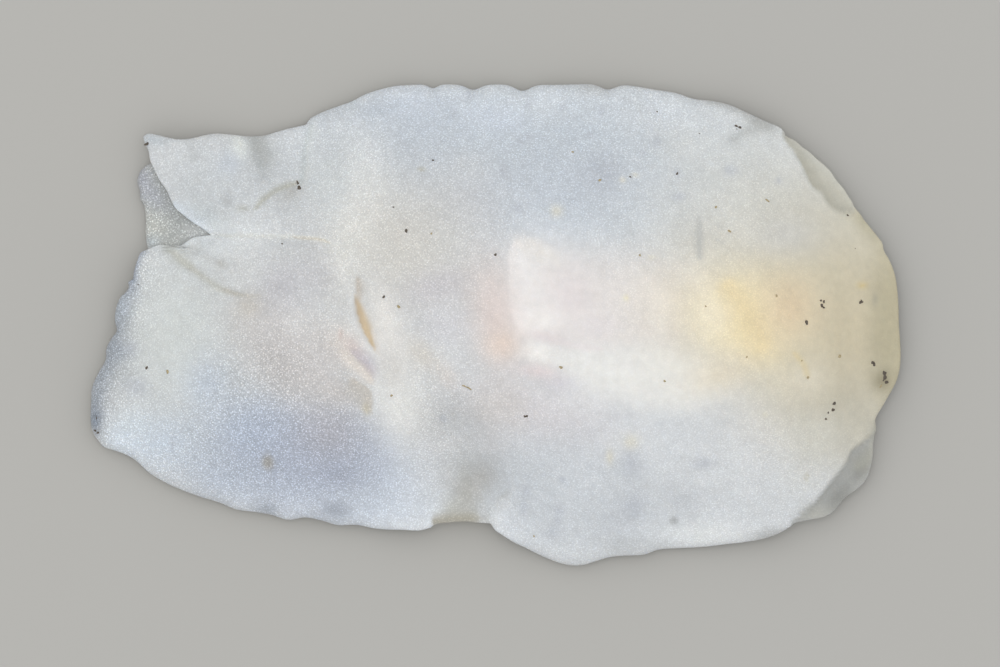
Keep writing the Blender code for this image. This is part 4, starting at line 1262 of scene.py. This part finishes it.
    def pigment_and_painted_light(self, points: Array, layers: Numbers, depth: Array) -> Array:
        """The colour in linear light of each point, with painted light towards the margin against the shade
        of its rounded slope.
        """
        colours = np.zeros((len(points), 3))
        for layer, base, tints in (
            (Layer.BACK, MILKY, BACK_TINTS),
            (Layer.UNDERSIDE, UNDER_COLOUR, ()),
            (Layer.FOOT, FOOT_GREY, FOOT_TINTS),
            (Layer.SOLE, SOLE_COLOUR, ()),
        ):
            here = layers == layer.value
            flat = points[here, :2]
            colour = np.tile(linear(base), (len(flat), 1))
            for tint in tints:
                share = (tint.strength * tint.shape.mask(flat))[:, None]
                colour += (linear(tint.colour) - colour) * share
            colours[here] = colour
        # Painted light near the margin
        painted_margin_light = self.rim_light * np.exp(-((depth / self.rim_light_reach) ** 2))
        return colours * (1.0 + painted_margin_light)[:, None]

    def grain(self, points: Array, layers: Numbers) -> Array:
        """How strong the granules are at each point."""
        amounts = np.full(len(points), USUAL_GRAIN)
        on_back = layers == Layer.BACK.value
        for grains, here in ((BACK_GRAINS, on_back), (LOWER_GRAINS, ~on_back)):
            for grain in grains:
                share = grain.strength * grain.shape.mask(points[here, :2])
                amounts[here] += (grain.amount - amounts[here]) * share
        return amounts

    def build(self) -> bpy.types.Object:
        """Builds the skin, dresses it and puts it in the place of the CAD's flesh."""
        points, faces, layers, depth = self.sheet()
        skin = solid(self.name, points * MM, faces, self.finish.material("wet_flesh"))
        colours = np.insert(self.pigment_and_painted_light(points, layers, depth), 3, 1.0, axis=1)
        for name, kind, field, values in (
            (PIGMENT_AND_PAINTED_LIGHT_ATTRIBUTE, "FLOAT_COLOR", "color", colours),
            (GRAIN_ATTRIBUTE, "FLOAT", "value", self.grain(points, layers)),
        ):
            attribute = skin.data.attributes.new(name, kind, "POINT")
            attribute.data.foreach_set(field, values.astype(np.float32).ravel())
        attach(skin, "root")
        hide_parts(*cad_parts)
        log.info("%s: %d points, %d faces", skin.name, len(points), len(faces))
        return skin


@dataclass(frozen=True)
class Speck:
    """A tiny lump in the skin: its place, half its length and width, and its turn."""

    place: Place
    size: Place
    turn: float = 0.0


DARK_SPECKS = tuple(Speck(*row) for row in (
    ((0.04, 2.78), (0.06, 0.05)), ((-3.5, 3.72), (0.09, 0.06), -60.0),
    ((-4.38, 1.12), (0.065, 0.06)), ((-13.92, 7.24), (0.09, 0.065), 40.0),
    ((-7.84, 5.63), (0.13, 0.05), 100.0), ((-7.79, 5.45), (0.1, 0.09), -20.0),
    ((-14.22, 1.6), (0.05, 0.045)), ((-13.87, -1.71), (0.07, 0.065)),
    ((-8.44, 3.22), (0.04, 0.035)), ((-4.01, 4.67), (0.04, 0.035)), ((1.21, -3.62), (0.065, 0.05)),
    ((1.29, -3.6), (0.06, 0.045), 30.0), ((12.39, 0.1), (0.09, 0.08)),
    ((12.98, 0.97), (0.05, 0.05)), ((13.1, 0.92), (0.07, 0.05), 30.0),
    ((13.01, 0.78), (0.08, 0.065)), ((13.08, 0.7), (0.065, 0.05)), ((14.6, 0.9), (0.1, 0.07), 15.0),
    ((14.63, 0.97), (0.045, 0.04)), ((14.38, 3.04), (0.045, 0.04)),
    ((14.15, 4.31), (0.11, 0.06), -60.0), ((15.08, -1.5), (0.08, 0.08)),
    ((15.14, -1.58), (0.1, 0.065), -20.0), ((15.54, -1.9), (0.12, 0.1)),
    ((15.57, -2.06), (0.14, 0.12), 60.0), ((15.6, -2.27), (0.14, 0.09), -30.0),
    ((15.5, -2.2), (0.08, 0.065)), ((13.52, -3.13), (0.09, 0.07), 30.0),
    ((13.48, -3.37), (0.09, 0.07)), ((13.3, -3.49), (0.045, 0.04)), ((13.2, -3.74), (0.06, 0.045)),
    ((9.62, 7.94), (0.1, 0.07)), ((9.76, 7.88), (0.11, 0.08), -20.0), ((9.68, 7.8), (0.06, 0.05)),
    ((-15.89, -3.72), (0.06, 0.05)), ((-15.98, -4.22), (0.05, 0.05)),
    ((-15.84, -4.3), (0.07, 0.06), 30.0), ((-2.44, 6.54), (0.05, 0.045)),
    ((7.26, 6.0), (0.05, 0.07)), ((8.18, 7.62), (0.04, 0.035)), ((6.5, 8.52), (0.04, 0.035)),
    ((5.4, 5.88), (0.045, 0.04)), ((-0.4, 8.42), (0.035, 0.03)), ((-7.46, -6.8), (0.05, 0.045)),
))
OLIVE_SPECKS = tuple(Speck(*row) for row in (
    ((-2.5, 3.62), (0.045, 0.04)), ((-3.79, 0.72), (0.08, 0.06)), ((-4.08, -2.8), (0.06, 0.05)),
    ((-8.49, 7.29), (0.05, 0.045)), ((-8.09, 7.46), (0.09, 0.085)), ((-13.01, -1.87), (0.08, 0.07)),
    ((2.63, -1.68), (0.07, 0.06)), ((8.79, 4.67), (0.065, 0.05)), ((9.32, 3.72), (0.065, 0.06)),
    ((15.37, -2.46), (0.18, 0.06), 35.0), ((6.74, -2.22), (0.05, 0.045)),
    ((10.0, -1.27), (0.04, 0.035)), ((12.45, -2.08), (0.08, 0.045), -35.0),
    ((12.2, -1.42), (0.04, 0.035)), ((4.18, 5.74), (0.065, 0.06)), ((1.58, -8.43), (0.05, 0.045)),
    ((-1.2, -2.42), (0.12, 0.035), -15.0), ((-1.02, -2.5), (0.12, 0.035), -35.0),
    ((11.19, 1.15), (0.06, 0.05)), ((13.73, -1.25), (0.08, 0.07)), ((3.12, 6.88), (0.05, 0.045)),
    ((10.85, 4.96), (0.09, 0.05), -30.0), ((5.76, 2.76), (0.05, 0.045)),
    ((8.37, 0.74), (0.04, 0.035)),
))


@dataclass
class Specks:
    """Tiny lumps of one kind, each lying half sunk in the skin.

    A lump is a ball with its three radii set apart, its own turn, and a wavy outline:
    the radius is multiplied by 1 + a sin(2u + p) + b sin(3u + q), u being the way round
    and a and b the two waves.
    """

    name: str
    specks: tuple[Speck, ...]
    finish: Grit
    skin: Skin
    rings: int = 5
    rays: int = 12
    flatness: float = 0.5
    waves: Place = (0.22, 0.16)
    seed: int = 5

    def build(self) -> bpy.types.Object:
        """Builds all the lumps as one object."""
        draw = np.random.default_rng(self.seed)
        heights = self.skin.top(np.array([speck.place for speck in self.specks]))
        down = np.pi * np.arange(1, self.rings + 1)[:, None] / (self.rings + 1)
        round_way = 2.0 * np.pi * np.arange(self.rays)[None, :] / self.rays
        starts = np.zeros(self.rays, int)
        points, faces = [], []
        for speck, height in zip(self.specks, heights):
            p, q = draw.uniform(0.0, 2.0 * np.pi, 2)
            a, b = self.waves
            wavy = 1.0 + a * np.sin(2.0 * round_way + p) + b * np.sin(3.0 * round_way + q)
            x = speck.size[0] * np.cos(round_way) * np.sin(down) * wavy
            y = speck.size[1] * np.sin(round_way) * np.sin(down) * wavy
            thick = self.flatness * min(speck.size)
            x, y = turned(x, y, speck.turn)
            lump = np.stack([
                speck.place[0] + x,
                speck.place[1] + y,
                np.broadcast_to(height + thick * np.cos(down), x.shape),
            ], axis=2)
            poles = [np.array([[*speck.place, height + up]]) for up in (thick, -thick)]
            lump_points, lump_faces = lofted(poles[0], lump, poles[1], starts)
            start = sum(len(known) for known in points)
            faces += [[start + number for number in face] for face in lump_faces]
            points.append(lump_points)
        material = self.finish.material(self.name)
        lumps = solid(self.name, np.vstack(points) * MM, faces, material)
        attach(lumps, "root")
        log.info("%s: %d lumps", self.name, len(self.specks))
        return lumps


@dataclass(frozen=True)
class Lamp:
    """A soft square lamp: its place and its side in metres, and its power in watts."""

    name: str
    place: tuple[float, float, float]
    side: float
    power: float


LAMPS = (
    Lamp("top_lamp", (-0.03, 0.04, 0.6), 0.3, 0.64),
    Lamp("side_lamp", (-0.2, 0.22, 0.26), 0.2, 0.04),
)


@dataclass(frozen=True)
class Studio:
    """A plain floor, soft light from all round and a camera straight above."""

    floor_reach: float = 2.0
    floor_colour: Colour = (178, 177, 173)
    floor_roughness: float = 0.9
    sky_light: float = 0.86
    camera_aim: Place = (0.22, -0.34)
    camera_height: float = 401.0
    lens: float = 360.0
    sensor: float = 36.0
    nearest: float = 0.01
    furthest: float = 10.0

    def floor(self) -> bpy.types.Object:
        """The plain floor, a square at ground level."""
        far = self.floor_reach
        corners = np.array([(-far, -far, 0.0), (far, -far, 0.0), (far, far, 0.0), (-far, far, 0.0)])
        finish = {"Base Color": (*linear(self.floor_colour), 1.0), "Roughness": self.floor_roughness}
        floor = solid("floor", corners, [(0, 1, 2, 3)], Tree("floor").finished(finish))
        return floor

    def light(self, lamp: Lamp) -> None:
        """Puts up a lamp that faces the animal."""
        data = bpy.data.lights.new(lamp.name, "AREA")
        data.size = lamp.side
        data.energy = lamp.power
        made = linked(lamp.name, data)
        made.location = lamp.place
        made.rotation_mode = "QUATERNION"
        made.rotation_quaternion = made.location.to_track_quat("Z", "Y")

    def camera(self) -> None:
        """The camera, looking straight down with the head to the right."""
        data = bpy.data.cameras.new("camera")
        data.lens = self.lens
        data.sensor_width = self.sensor
        data.clip_start = self.nearest
        data.clip_end = self.furthest
        camera = linked("camera", data)
        camera.location = tuple(MM * value for value in (*self.camera_aim, self.camera_height))
        bpy.context.scene.camera = camera

    def build(self) -> None:
        """Sets up the floor, the light and the camera."""
        scene = bpy.context.scene
        world = bpy.data.worlds.new("soft_sky")
        world.use_nodes = True
        sky = world.node_tree.nodes["Background"]
        sky.inputs["Color"].default_value = (1.0, 1.0, 1.0, 1.0)
        sky.inputs["Strength"].default_value = self.sky_light
        scene.world = world
        scene.view_settings.view_transform = "Standard"
        self.floor()
        for lamp in LAMPS:
            self.light(lamp)
        self.camera()
        log.info("studio: floor, %d lamps and a camera", len(LAMPS))


def main() -> None:
    """Builds the studio, the skin and the specks."""
    logging.basicConfig(level=logging.INFO, format="%(name)s: %(message)s")
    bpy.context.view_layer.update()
    Studio().build()
    skin = Skin(Body(), Ripple(), WetFlesh())
    skin.build()
    Specks("dark_specks", DARK_SPECKS, Grit((88, 80, 71)), skin).build()
    Specks("olive_specks", OLIVE_SPECKS, Grit((166, 152, 118)), skin).build()


if __name__ == "__main__":
    main()
